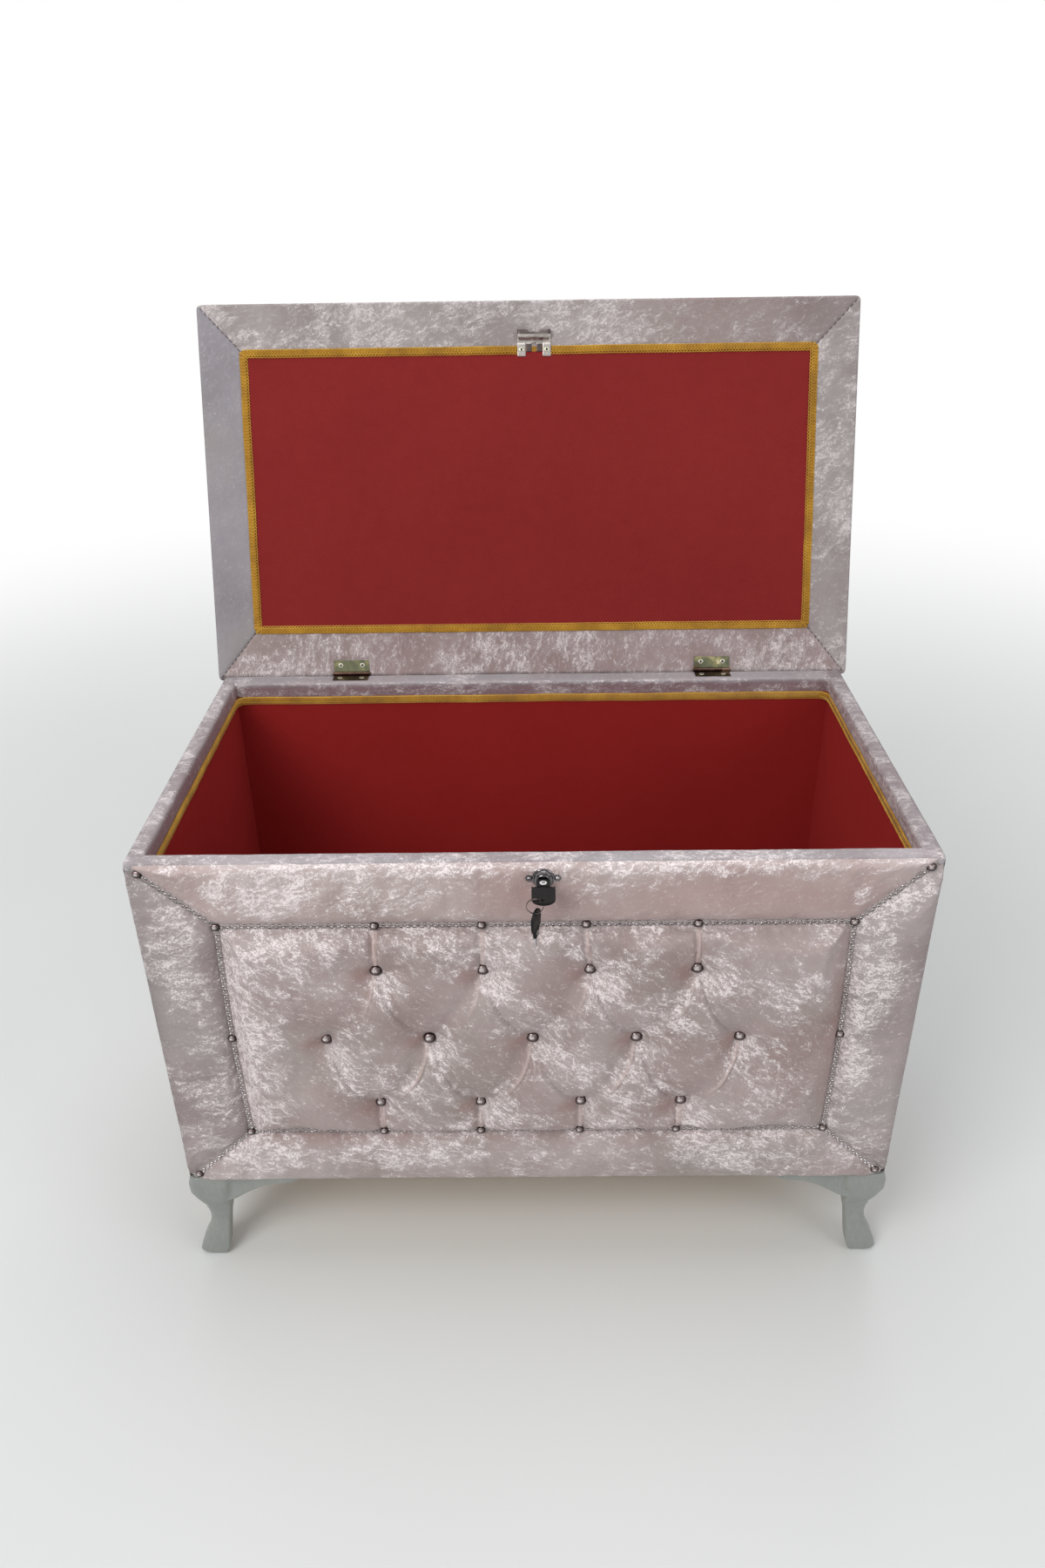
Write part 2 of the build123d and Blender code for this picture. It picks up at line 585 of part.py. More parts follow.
def lock_bolt():
    """Sliding bolt plate with a crank slot and an upright hook."""
    y0, y1 = BOLT_Y, BOLT_Y + BOLT_T
    plate = block(-1.0, 19.0, y0, y1, LOCK_Z - 8, RIM_Z - 9.2)
    slot_x = LOCK_X - CRANK_R * math.sin(math.pi / 4)
    low = LOCK_Z + CRANK_R * math.cos(math.pi / 4) - CRANK_PIN_R - 0.5
    high = LOCK_Z + CRANK_R + CRANK_PIN_R + 0.5
    plate -= block(slot_x - 1.8, slot_x + 1.8, y0 - 1, y1 + 1, low, high)
    neck = block(6.5, 12.5, y0, y1, RIM_Z - 11, RIM_Z - 1.2)
    barb = block(12.0, 18.0, y0, y1, RIM_Z - 4.9, RIM_Z - 1.2)
    export(plate + neck + barb, "lock_bolt")


def lock_front():
    """Rosette with its two domed pins, the fixed cylinder and the turning plug."""
    y = ROSETTE_Y
    profile = [(CYLINDER_R, y), (ROSETTE_R, y), (ROSETTE_R, y - 1.2), (ROSETTE_R - 0.8, y - 1.8),
               (ROSETTE_R - 1.6, y - 1.9), (ROSETTE_R - 2.4, y - 3.4), (ROSETTE_R - 3.8, y - 4.3), (CYLINDER_R, y - 4.6)]
    rosette = turned_y(profile, LOCK_X, LOCK_Z)
    pins = []
    for sx in (-1, 1):
        x = LOCK_X + sx * EAR_X
        rosette += rod_y(x, LOCK_Z, y - 1.0, y, EAR_R)
        rosette += block(min(x, LOCK_X + sx * 8), max(x, LOCK_X + sx * 8), y - 1.0, y, LOCK_Z - 2.6, LOCK_Z + 2.6)
    rosette -= rod_y(LOCK_X, LOCK_Z, y - 9, y + 1, CYLINDER_R)
    for sx in (-1, 1):
        x = LOCK_X + sx * EAR_X
        rosette -= rod_y(x, LOCK_Z, y - 3, y + 1, 1.0)
        dome = turned_y([(0, y - 3.6), (1.5, y - 3.2), (2.6, y - 2.2), (3.0, y - 1.0), (0, y - 1.0)], x, LOCK_Z)
        pins.append(dome + rod_y(x, LOCK_Z, y - 1.2, 14.0, 1.0))
    export(rosette, "lock_rosette")
    export(Compound(children=pins), "rosette_pins")
    front = y - 5.5
    tube = rod_y(LOCK_X, LOCK_Z, front, IN_Y0 + CASE_WALL, CYLINDER_R)
    tube = chamfer(tube.edges().group_by(Axis.Y)[0], 0.5)
    tube -= rod_y(LOCK_X, LOCK_Z, front - 1, IN_Y0 + CASE_WALL + 1, PLUG_R + 0.06)
    export(tube, "lock_cylinder")
    plug = rod_y(LOCK_X, LOCK_Z, front + 0.5, BOLT_Y - 0.6, PLUG_R)
    plug -= block(LOCK_X - 3.6, LOCK_X + 3.6, front, front + 20.0, LOCK_Z - 1.15, LOCK_Z + 1.15)
    crank_x = LOCK_X - CRANK_R * math.sin(math.pi / 4)
    crank_z = LOCK_Z + CRANK_R * math.cos(math.pi / 4)
    plug += rod_y(crank_x, crank_z, BOLT_Y - 0.8, BOLT_Y + BOLT_T, CRANK_PIN_R)
    export(plug, "lock_plug")


def key_parts():
    """Key with its tip at y 0 of the shoulder, pointing to +y, flat in the xy plane."""
    neck = block(-KEY_NECK_W / 2, KEY_NECK_W / 2, -13.0, 0, -2.5, 2.5)
    neck = fillet(neck.edges().filter_by(Axis.Y), 1.2)
    end = Pos(0, -32.0, 0) * Ellipse(KEY_W / 2, 11.0)
    bow = Pos(0, -22.25, 0) * RectangleRounded(KEY_W, 19.5, 1.0) + end
    bow -= [Pos(sx * (KEY_W / 2 - 2.4), -12.5, 0) * Circle(1.1) for sx in (-1, 1)]
    bow = Pos(0, 0, -1.6) * extrude(bow, 3.2)
    bow -= rod_z(-2.3, -38.0, -5, 5, 2.6)
    head = neck + bow
    head -= rod_z(0, -7.0, -5, 5, 3.9)
    eyelet = extrude(Ellipse(3.9, 3.9), 5.6) - extrude(Circle(1.9), 5.6)
    eyelet = Pos(0, -7.0, -2.8) * eyelet
    blade_points = [(-3.4, 0), (-3.4, 15.0), (-1.2, 17.5), (0.9, 16.0), (2.0, 14.4), (1.2, 13.2), (3.0, 11.2),
                    (2.0, 9.6), (3.4, 7.6), (2.6, 5.8), (3.4, 4.4), (3.4, 0)]
    blade = extrude(make_face(Polyline(*[(x, y, -0.9) for x, y in blade_points], close=True)), 1.8, dir=(0, 0, 1))
    blade -= block(-2.2, -1.2, 1.5, 14.5, 0.5, 2)
    return head, eyelet, blade


def keys():
    """Key in the lock, split ring and spare key hanging on it."""
    head, eyelet, blade = key_parts()
    shoulder = ROSETTE_Y - 5.8
    at = Pos(LOCK_X, shoulder, LOCK_Z)
    export(at * head, "key_head")
    export(at * eyelet, "key_eyelet")
    export(at * blade, "key_blade")
    hole_x, hole_y = LOCK_X - 2.3, shoulder - 38.0
    ring_x, ring_z = hole_x - 6.7, LOCK_Z - 5.6
    ring = rod_y(0, 0, -RING_WIRE, RING_WIRE, RING_R + RING_WIRE)
    ring -= rod_y(0, 0, -1, 1, RING_R - RING_WIRE)
    export(Pos(ring_x, hole_y, ring_z) * ring, "key_ring")
    # the spare hangs by its ring hole from the bottom of the ring, turned edge-on
    grip_z = ring_z - RING_R
    spare = Pos(ring_x, hole_y, grip_z - 1.7) * Rot(0, 0, 68) * Rot(-90, 0, 0) * Pos(2.3, 38.0, 0)
    export(spare * head, "spare_key_head")
    export(spare * eyelet, "spare_key_eyelet")
    export(spare * blade, "spare_key_blade")


def main():
    """Write every node."""
    os.makedirs("parts", exist_ok=True)
    lock_hole = [rod_y(LOCK_X, LOCK_Z, -20, IN_Y0 + 2, CYLINDER_R)] + lock_case_screw_holes()
    lock_hole += [rod_y(LOCK_X + s * EAR_X, LOCK_Z, -20, 14.0, 1.0) for s in (-1, 1)]
    seat = [block(LOCK_X - 20, LOCK_X + 20, -20, ROSETTE_Y, LOCK_Z - 13, LOCK_Z + 13)]
    nails = nail_holes(nail_points())
    tufts = nail_holes(tuft_points())
    walls(lock_hole, nails + tufts)
    front_upholstery(lock_hole + seat, nails + tufts)
    coverings()
    linings(lock_hole)
    rim_wrap(lock_hole)
    feet()
    hinges()
    lid()
    strike()
    lock_case()
    lock_bolt()
    lock_front()
    keys()
    trim_front = SEAM_Y - TRIM_T
    export(Compound(children=[domed_nail(x, z, trim_front) for x, z in nail_points()]), "trim_nails")
    export(Compound(children=[domed_nail(x, z, SEAM_Y) for x, z in tuft_points()]), "tuft_buttons")


main()
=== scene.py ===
import json
import math
import random

import bmesh
import bpy
import numpy as np
from mathutils import Matrix, Vector, noise


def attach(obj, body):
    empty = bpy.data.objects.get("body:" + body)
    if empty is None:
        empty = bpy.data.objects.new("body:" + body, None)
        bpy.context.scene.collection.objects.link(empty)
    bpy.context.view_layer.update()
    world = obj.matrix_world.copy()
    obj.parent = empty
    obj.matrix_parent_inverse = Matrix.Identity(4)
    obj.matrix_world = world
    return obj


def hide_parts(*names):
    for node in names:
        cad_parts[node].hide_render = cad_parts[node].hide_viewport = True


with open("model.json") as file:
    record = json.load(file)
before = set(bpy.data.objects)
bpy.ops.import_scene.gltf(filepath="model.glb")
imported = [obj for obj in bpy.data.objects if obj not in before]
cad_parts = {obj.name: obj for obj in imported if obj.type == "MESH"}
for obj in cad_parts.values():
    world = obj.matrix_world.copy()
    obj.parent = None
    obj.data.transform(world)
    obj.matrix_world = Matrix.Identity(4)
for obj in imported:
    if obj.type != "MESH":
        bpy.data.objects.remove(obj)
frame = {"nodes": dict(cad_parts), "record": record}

for spare in ("Cube", "Light", "Camera"):
    if spare in bpy.data.objects:
        bpy.data.objects.remove(bpy.data.objects[spare])
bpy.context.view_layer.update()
nodes = frame["nodes"]
scene = bpy.context.scene
scene.view_settings.view_transform = "Standard"

# the chest, in millimetres, measured from its front face; the frame's origin lies FRONT behind it
FRONT = 312.7
HALF_W, BODY_D = 440.0, 490.0
BODY_Z0, RIM_Z = 150.0, 626.0
WRAP_Z0 = RIM_Z - 3.0
IN_X, IN_Y0, IN_Y1 = 420.0, 20.0, 463.0
IN_MIDDLE = (IN_Y0 + IN_Y1) / 2
BAND_Z0 = RIM_Z - 22.0
FLOOR_Z = BODY_Z0 + 15.0
PANEL_X, PANEL_Z0, PANEL_Z1 = 350.0, 233.0, 543.0
SEAM_Y = 1.0
BORDER_RISE, PANEL_RISE = 11.0, 19.0
BRAID_W = 11.0
GIMP_STEP = 0.0041  # metres
HINGE_X, HINGE_ROOM = 257.7, 28.0
LOCK_X, LOCK_Z = 11.0, 609.0
TUFT_PITCH = 120.5
# drop below the rim, number of buttons, and the middle of each row
TUFT_ROWS = ((145.0, 4, 3.0), (245.0, 5, -2.0), (345.0, 4, -5.5))
TOP_NAILS_X = (-175.0, -57.0, 58.0, 181.0)
BOTTOM_NAILS_X = (-186.0, -67.0, 54.0, 172.0)
CORNER_NAILS = ((-424.0, 614.0), (424.0, 614.0), (-425.0, 160.0), (425.0, 160.0))
SIDE_NAIL_Z = 383.0

# the lid, as it lies closed: x across, u forward from the hinge pin, w up from it
PIN_Y, PIN_Z = 491.124, 627.3
OPEN = math.radians(108.4)
LID_X = 450.0
LID_U0, LID_U1 = -8.876, 502.124
UNDER, LID_THICK = 1.3, 42.0
LID_BRAID_X, LID_BRAID_U0, LID_BRAID_U1 = 394.5, 57.4, 442.9
STRIKE_X0, STRIKE_X1 = -14.4, 31.0


# ---------------------------------------------------------------- mesh tools

AHEAD = np.array([0.0, FRONT, 0.0])


def on_chest(points):
    """Chest millimetres to frame metres."""
    return (np.asarray(points, float) - AHEAD) / 1000.0


def off_chest(points):
    """Frame metres back to chest millimetres."""
    return points * 1000.0 + AHEAD


def on_lid(points):
    """Closed-lid (x, u, w) millimetres to frame metres on the open lid."""
    p = np.asarray(points, float)
    x, u, w = p[..., 0], p[..., 1], p[..., 2]
    y = PIN_Y - u * math.cos(OPEN) + w * math.sin(OPEN)
    z = PIN_Z + u * math.sin(OPEN) + w * math.cos(OPEN)
    return on_chest(np.stack([x, y, z], axis=-1))


def add_piece(name, mesh):
    """Link a mesh as a piece of the scene."""
    piece = bpy.data.objects.new(name, mesh)
    scene.collection.objects.link(piece)
    return piece


def shade(mesh, angle=None):
    """Smooth shading, with sharp edges past an angle in degrees."""
    mesh.polygons.foreach_set("use_smooth", np.ones(len(mesh.polygons), bool))
    if angle is not None:
        mesh.set_sharp_from_angle(angle=math.radians(angle))
    mesh.update()


def cloth_grid(name, points, facing, around=False):
    """Quad sheet through a grid of points, turned to look towards facing."""
    rows, cols = points.shape[:2]
    index = np.arange(rows * cols).reshape(rows, cols)
    after = np.roll(index, -1, axis=0) if around else index[1:]
    before = index if around else index[:-1]
    quads = np.stack([before[:, :-1], before[:, 1:], after[:, 1:], after[:, :-1]], axis=-1).reshape(-1, 4)
    mesh = bpy.data.meshes.new(name)
    mesh.from_pydata(points.reshape(-1, 3).tolist(), [], quads.tolist())
    mesh.update()
    faces = mesh.polygons
    aim = facing(read(faces, "center", 3)) if callable(facing) else np.asarray(facing, float)
    if ((read(faces, "normal", 3) * aim).sum(axis=1) * read(faces, "area")).sum() < 0:
        mesh.flip_normals()
    shade(mesh)
    return add_piece(name, mesh)


def spaced(length, step, tight=0.0):
    """Positions from 0 to length, closer together near both ends."""
    count = max(2, int(round(length / step)) + 1)
    t = np.linspace(0.0, 1.0, count)
    return length * (t - tight * np.sin(2 * math.pi * t) / (2 * math.pi))


def lumps(x, y, z, size, seed=0.0):
    """Soft random hills, about -1 to 1, over points in millimetres."""
    out = np.zeros(np.shape(x))
    flat = out.reshape(-1)
    for i, (a, b, c) in enumerate(zip(np.ravel(x), np.ravel(y), np.ravel(z))):
        flat[i] = noise.noise((a / size + seed, b / size - seed, c / size + 2 * seed))
    return out


def read(items, name, width=1):
    """One property of all of a mesh's points or faces, as rows of numbers."""
    out = np.zeros(len(items) * width)
    items.foreach_get(name, out)
    return out.reshape(-1, width) if width > 1 else out


def read_points(mesh):
    return read(mesh.vertices, "co", 3)


def write_points(mesh, co):
    mesh.vertices.foreach_set("co", np.asarray(co, float).reshape(-1))
    mesh.update()


def bake_modifiers(piece):
    """Turn a piece and its modifiers into a plain mesh."""
    bpy.context.view_layer.update()
    graph = bpy.context.evaluated_depsgraph_get()
    mesh = bpy.data.meshes.new_from_object(piece.evaluated_get(graph), preserve_all_data_layers=True, depsgraph=graph)
    piece.modifiers.clear()
    old = piece.data
    piece.data = mesh
    mesh.name = piece.name
    bpy.data.meshes.remove(old)
    return piece


def finer(piece, levels=1):
    """Round a piece off with subdivision."""
    rounding = piece.modifiers.new("rounding", "SUBSURF")
    rounding.levels = levels
    rounding.render_levels = levels
    bake_modifiers(piece)
    shade(piece.data)
    return piece


def lay_pile_and_light(piece, brushed=None, shaded=None):
    """Store how crushed the pile lies at each point, with painted light: faces turned up and to the left get more
    silvery strokes, as if lit from there; and store each point's painted shade and highlight.
    """
    mesh = piece.data
    n, p = read(mesh.vertices, "normal", 3), off_chest(read_points(mesh))
    # painted light: more crushed, silvery pile on faces turned up and to the left, towards the light
    pile = -0.75 * n[:, 0] + 0.55 * n[:, 2]
    store(mesh, "pile", pile + brushed(p) if brushed else pile)
    store(mesh, "blush", shaded(p) if shaded else np.zeros(len(p)))


def store(mesh, name, value):
    """Keep one number per point under a name."""
    layer = mesh.attributes.get(name) or mesh.attributes.new(name, "FLOAT", "POINT")
    layer.data.foreach_set("value", np.asarray(value).astype(np.float32))


def paint(piece, material):
    piece.data.materials.clear()
    piece.data.materials.append(material)


def stuff(piece, held, pressure, frames, cap, stretch, bend):
    """Let the cover settle over its filling as cloth, held along its seams, moving at most cap metres."""
    start = read_points(piece.data)
    group = piece.vertex_groups.new(name="seams")
    group.add([int(i) for i in np.nonzero(held)[0]], 1.0, "REPLACE")
    cloth = piece.modifiers.new("filling", "CLOTH")
    for key, value in {"quality": 5, "mass": 0.25, "tension_stiffness": 18.0, "compression_stiffness": 12.0,
                       "shear_stiffness": 6.0, "bending_stiffness": bend, "air_damping": 3.0, "shrink_min": stretch,
                       "shrink_max": stretch, "use_pressure": True, "uniform_pressure_force": pressure,
                       "vertex_group_mass": "seams"}.items():
        setattr(cloth.settings, key, value)
    cloth.settings.effector_weights.gravity = 0.0
    cloth.collision_settings.use_collision = False
    cloth.point_cache.frame_start = 1
    cloth.point_cache.frame_end = frames
    for step in range(1, frames + 1):
        scene.frame_set(step)
    graph = bpy.context.evaluated_depsgraph_get()
    settled = read_points(piece.evaluated_get(graph).data)
    scene.frame_set(1)
    piece.modifiers.clear()
    piece.vertex_groups.clear()
    move = settled - start
    length = np.linalg.norm(move, axis=1, keepdims=True)
    move *= np.tanh(length / cap) * cap / np.maximum(length, 1e-9)
    write_points(piece.data, start + move)


def copied(prefix, name):
    """A bare copy of a frame node, as a piece of the scene."""
    mesh = nodes[name].data.copy()
    mesh.materials.clear()
    return add_piece(prefix + name, mesh)


def reworked(mesh, action):
    """Run an action on a mesh as a bmesh."""
    work = bmesh.new()
    work.from_mesh(mesh)
    action(work)
    work.to_mesh(mesh)
    work.free()
    return mesh


def remade(piece, size, rounds):
    """Remake a piece with faces of one size, its edges eased."""
    even = piece.modifiers.new("even", "REMESH")
    even.mode = "VOXEL"
    even.voxel_size = size
    ease = piece.modifiers.new("ease", "SMOOTH")
    ease.factor = 0.5
    ease.iterations = rounds
    bake_modifiers(piece)


def drop_layers(mesh, start):
    """Remove the attributes whose names begin with start."""
    for layer in list(mesh.attributes):
        if layer.name.startswith(start):
            mesh.attributes.remove(layer)


def patch(corners, u, v):
    """Points over a patch with four corners: u along its first side, v along its last."""
    a, b, c, d = (np.array(corner, float) for corner in corners)
    u, v = u[..., None], v[..., None]
    return (1 - u) * (1 - v) * a + u * (1 - v) * b + u * v * c + (1 - u) * v * d


def ribbon(places, across, out, profile):
    """Grid along a line of places, with (step across, step outwards) at each."""
    places, across, out = np.broadcast_arrays(*(np.asarray(v, float) for v in (places, across, out)))
    steps, lifts = np.array(profile).T
    return places[:, None] + across[:, None] * steps[:, None] + out[:, None] * lifts[:, None]


def leftward(points):
    """Unit vectors to the left of a line of points, across its first two axes."""
    points = np.array(points, float)
    ends = np.concatenate([points[:1], points, points[-1:]])
    t = (ends[2:] - ends[:-2])[:, :2]
    t = t / np.linalg.norm(t, axis=1, keepdims=True)
    return np.column_stack([-t[:, 1], t[:, 0], np.zeros(len(t))])


# ---------------------------------------------------------------- finishes

class Level:
    """A number in a node tree; sums, differences and products of levels add the nodes that work them out."""

    def __init__(self, tree, socket):
        self.tree, self.socket = tree, socket

    def joined(self, kind, other):
        return Level(self.tree, wire(self.tree, "ShaderNodeMath", {"operation": kind}, i0=self, i1=other).outputs[0])

    def __add__(self, other):
        return self.joined("ADD", other)

    def __sub__(self, other):
        return self.joined("SUBTRACT", other)

    def __mul__(self, other):
        return self.joined("MULTIPLY", other)

    def clamped(self):
        """Keep the last sum or product within 0 to 1."""
        self.socket.node.use_clamp = True
        return self

    def window(self, low, high, to_low=0.0, to_high=1.0):
        """Smooth step of the number between two levels."""
        step = wire(self.tree, "ShaderNodeMapRange", {"interpolation_type": "SMOOTHSTEP"},
                    i0=self, i1=low, i2=high, i3=to_low, i4=to_high)
        return Level(self.tree, step.outputs[0])


class Finish:
    """A material in the making: its nodes, its surface shader and the object coordinates its patterns lie in."""

    def __init__(self, name):
        self.material = bpy.data.materials.new(name)
        self.material.use_nodes = True
        self.tree = self.material.node_tree
        self.tree.nodes.clear()
        self.shader = self.add("ShaderNodeBsdfPrincipled")
        self.out = self.add("ShaderNodeOutputMaterial", Surface=self.shader.outputs["BSDF"])
        self.here = self.place()

    def add(self, kind, settings=None, **sockets):
        return wire(self.tree, kind, settings, **sockets)

    def place(self, scale=(1, 1, 1), turn=(0, 0, 0)):
        """Object coordinates, turned and scaled."""
        spot = self.add("ShaderNodeTexCoord").outputs["Object"]
        turn = tuple(math.radians(a) for a in turn)
        return self.add("ShaderNodeMapping", Vector=spot, Scale=scale, Rotation=turn).outputs[0]

    def grain(self, scale, detail=2.0, rough=0.5, twist=0.0, where=None):
        """Noise over the object, or over a vector."""
        node = self.add("ShaderNodeTexNoise", Vector=self.here if where is None else where, Scale=scale,
                        Detail=detail, Roughness=rough, Distortion=twist)
        return Level(self.tree, node.outputs["Fac"])

    def creased(self, where, scale, detail, rough):
        """Noise with sharp crests, as pile creases have."""
        node = self.add("ShaderNodeTexNoise", {"noise_type": "RIDGED_MULTIFRACTAL"}, Vector=where, Scale=scale,
                        Detail=detail, Roughness=rough, Distortion=0.25, Offset=0.9, Gain=1.6)
        return Level(self.tree, node.outputs["Fac"])

    def strayed(self, where, scale, detail, reach):
        """A vector led astray, in patches."""
        patches = self.add("ShaderNodeTexNoise", Vector=self.here, Scale=scale, Detail=detail).outputs["Color"]
        shift = self.add("ShaderNodeVectorMath", {"operation": "SUBTRACT"}, i0=patches, i1=(0.5, 0.5, 0.5))
        shift = self.add("ShaderNodeVectorMath", {"operation": "SCALE"}, i0=shift.outputs[0], Scale=reach)
        return self.add("ShaderNodeVectorMath", {"operation": "ADD"}, i0=where, i1=shift.outputs[0]).outputs[0]

    def value(self, name):
        """A number kept per point."""
        return Level(self.tree, self.add("ShaderNodeAttribute", {"attribute_name": name}).outputs["Fac"])

    def tones(self, value, stops):
        """Colour ramp with (position, colour) stops; colours as seen on screen, 0 to 255."""
        ramp = self.add("ShaderNodeValToRGB", i0=value)
        elements = ramp.color_ramp.elements
        while len(elements) > 1:
            elements.remove(elements[-1])
        for i, (at, colour) in enumerate(stops):
            e = elements[0] if i == 0 else elements.new(at)
            e.position = at
            e.color = seen(colour)
        return ramp.outputs["Color"]

    def tinted(self, colour, amount, tint):
        """Colour mixed with a screen colour."""
        return self.add("ShaderNodeMix", {"data_type": "RGBA"}, i0=amount, i6=colour, i7=seen(tint)).outputs[2]

    def relief(self, height, depth, strength):
        """Bump from a height in 0 to 1, depth in metres."""
        bump = self.add("ShaderNodeBump", Height=height, Strength=strength, Distance=depth)
        feed(self.shader, Normal=bump.outputs[0])

    def done(self, **sockets):
        feed(self.shader, **sockets)
        return self.material


def wire(tree, kind, settings=None, **sockets):
    """Add a node, set its properties and feed its sockets."""
    added = tree.nodes.new(kind)
    for key, value in (settings or {}).items():
        setattr(added, key, value)
    return feed(added, **sockets)


def feed(node, **sockets):
    """Feed a node's sockets, by name or as i0, i1 and so on, from constants, levels or other sockets."""
    for key, value in sockets.items():
        numbered = key[0] == "i" and key[1:].isdigit()
        target = node.inputs[int(key[1:]) if numbered else key.replace("_", " ")]
        if isinstance(value, Level):
            value = value.socket
        if isinstance(value, bpy.types.NodeSocket):
            node.id_data.links.new(value, target)
        else:
            target.default_value = value
    return node


def seen(colour):
    """Screen colour 0 to 255 to a linear one."""
    out = []
    for c in colour:
        c = c / 255.0
        out.append(c / 12.92 if c <= 0.04045 else ((c + 0.055) / 1.055) ** 2.4)
    return (*out, 1.0)


def crushed_velvet(name, low, mid, high, haze, amount=0.0, lean=-35.0, deep=(156, 124, 119), cool=(150, 145, 139),
                   chill=0.4, sparkle=0.72):
    """Crushed velvet: smooth pile in soft patches, broken by drifts of crushed silvery strokes that lie at an angle.

    The point value 'pile' says how crushed the pile lies, with painted light: more on faces turned up and to the left;
    'blush' is painted shade in the colour deep (below 0: painted highlight),
    'shade' painted shade in dark grey, 'fan' and 'comb' where and how strokes spread from a button, painted bright on
    its side that faces the light.
    """
    f = Finish(name)
    bent = f.strayed(f.here, 45.0, 3.0, 0.016)
    strokes = f.strayed(bent, 430.0, 2.0, 0.0050)
    strokes = f.add("ShaderNodeMapping", Vector=strokes, Rotation=(0.0, math.radians(lean), 0.0)).outputs[0]
    strokes = f.add("ShaderNodeMapping", Vector=strokes, Scale=(0.5, 1.0, 1.25)).outputs[0]
    blush = f.value("blush")
    clump = (f.grain(62.0, 3.0, 0.6, where=strokes) - 0.5) * 0.6
    cover = f.grain(13.0, 5.0, 0.64, where=bent) + clump + f.value("pile") * 0.17 + amount
    cover = cover.window(0.34, 0.72)
    body = f.grain(230.0, 3.0, 0.7, 0.4, strokes) - 0.5
    speck = f.grain(760.0, 2.0, 0.7, where=strokes) - 0.5
    level = f.creased(strokes, 120.0, 4.0, 0.7) * 0.42 + f.creased(strokes, 340.0, 3.0, 0.65) * 0.58
    level = level + body * 1.2 + speck + cover * 0.8
    chilled = f.grain(6.5, 3.0, 0.5, where=f.place((1, 1, 1), (40, 70, 10))).window(0.45, 0.66, 0.0, chill)
    comb = f.add("ShaderNodeAttribute", {"attribute_name": "comb"}).outputs["Vector"]
    drawn = (f.grain(1.0, 3.0, 0.62, where=comb) + speck * 0.35).window(0.47, 0.66)
    colour = f.tones(f.grain(9.0, 4.0, 0.55), ((0.35, low), (0.5, mid), (0.65, high)))
    # painted light among these layers: deep is painted shade, (214, 190, 185) painted highlight, the fan strokes
    # painted highlight, (62, 52, 52) painted shade
    for much, tint in ((chilled, cool),
                       ((blush * 0.75).clamped(), deep),
                       ((cover + body * 0.9).window(0.1, 1.0) * 0.36, haze),
                       (level.window(1.12, 1.75) * 0.36, haze),
                       (level.window(1.5, 2.1) * (sparkle * 1.2), (251, 241, 241)),
                       ((drawn * f.value("fan")).clamped(), (244, 236, 236)),
                       ((blush * -0.8).clamped(), (214, 190, 185)),
                       ((f.value("shade") * 0.85).clamped(), (62, 52, 52))):
        colour = f.tinted(colour, much, tint)
    f.relief(level * (cover + 0.15), 0.0010, 0.35)
    return f.done(Base_Color=colour, Roughness=level.window(0.6, 1.8, 0.75, 0.42), Specular_IOR_Level=0.35,
                  Sheen_Weight=0.15, Sheen_Roughness=0.45, Sheen_Tint=seen((250, 240, 240)))


def red_felt(name, low, mid, high):
    """Needled red felt."""
    f = Finish(name)
    fibre, cloud = f.grain(900.0, 3.0, 0.7), f.grain(60.0, 3.0, 0.6)
    mixed = fibre * 0.55 + f.grain(7.0, 3.0, 0.55) * 0.25 + cloud * 0.2
    f.relief(fibre + cloud * 0.6, 0.0006, 0.5)
    return f.done(Base_Color=f.tones(mixed, ((0.25, low), (0.5, mid), (0.75, high))), Roughness=0.95,
                  Specular_IOR_Level=0.15, Sheen_Weight=0.06, Sheen_Roughness=0.6, Sheen_Tint=seen((235, 90, 84)))


def gold_gimp():
    """Twisted rayon yarn of the braid."""
    f = Finish("gold_gimp")
    hair = f.grain(1500.0, 2.0, 0.6)
    mixed = hair * 0.45 + f.grain(28.0, 3.0, 0.6) * 0.55
    f.relief(hair, 0.0003, 0.6)
    return f.done(Base_Color=f.tones(mixed, ((0.3, (136, 94, 16)), (0.5, (184, 136, 28)), (0.7, (216, 172, 56)))),
                  Roughness=0.5, Specular_IOR_Level=0.5, Sheen_Weight=0.2)


def woven(name, scale, low, high, **sockets):
    """Fine weave in two tones."""
    f = Finish(name)
    weave = f.grain(scale, 2.0, 0.6)
    f.relief(weave, 0.0004, 0.5)
    return f.done(Base_Color=f.tones(weave, ((0.35, low), (0.65, high))), **sockets)


def metal(name, dark, light, rough=0.18, mottled=30.0, scratch=0.15, shading_colour=None):
    """Plated or polished metal with faint rubbing and stains; worn is its painted shade colour, laid where the point
    value 'dull' is 1.
    """
    f = Finish(name)
    stain = f.grain(mottled, 4.0, 0.6)
    rub = f.grain(1.0, 3.0, 0.6, where=f.place((60, 900, 900)))
    mixed = stain * (1.0 - scratch) + rub * scratch
    colour = f.tones(mixed, ((0.3, dark), (0.65, light)))
    if shading_colour:
        colour = f.tinted(colour, (f.value("dull") + (stain - 0.5) * 0.9).clamped(), shading_colour)
    f.relief(rub, 0.00005, 0.3)
    return f.done(Base_Color=colour, Metallic=1.0, Roughness=mixed.window(0.3, 0.7, rough * 0.7, rough * 1.5))


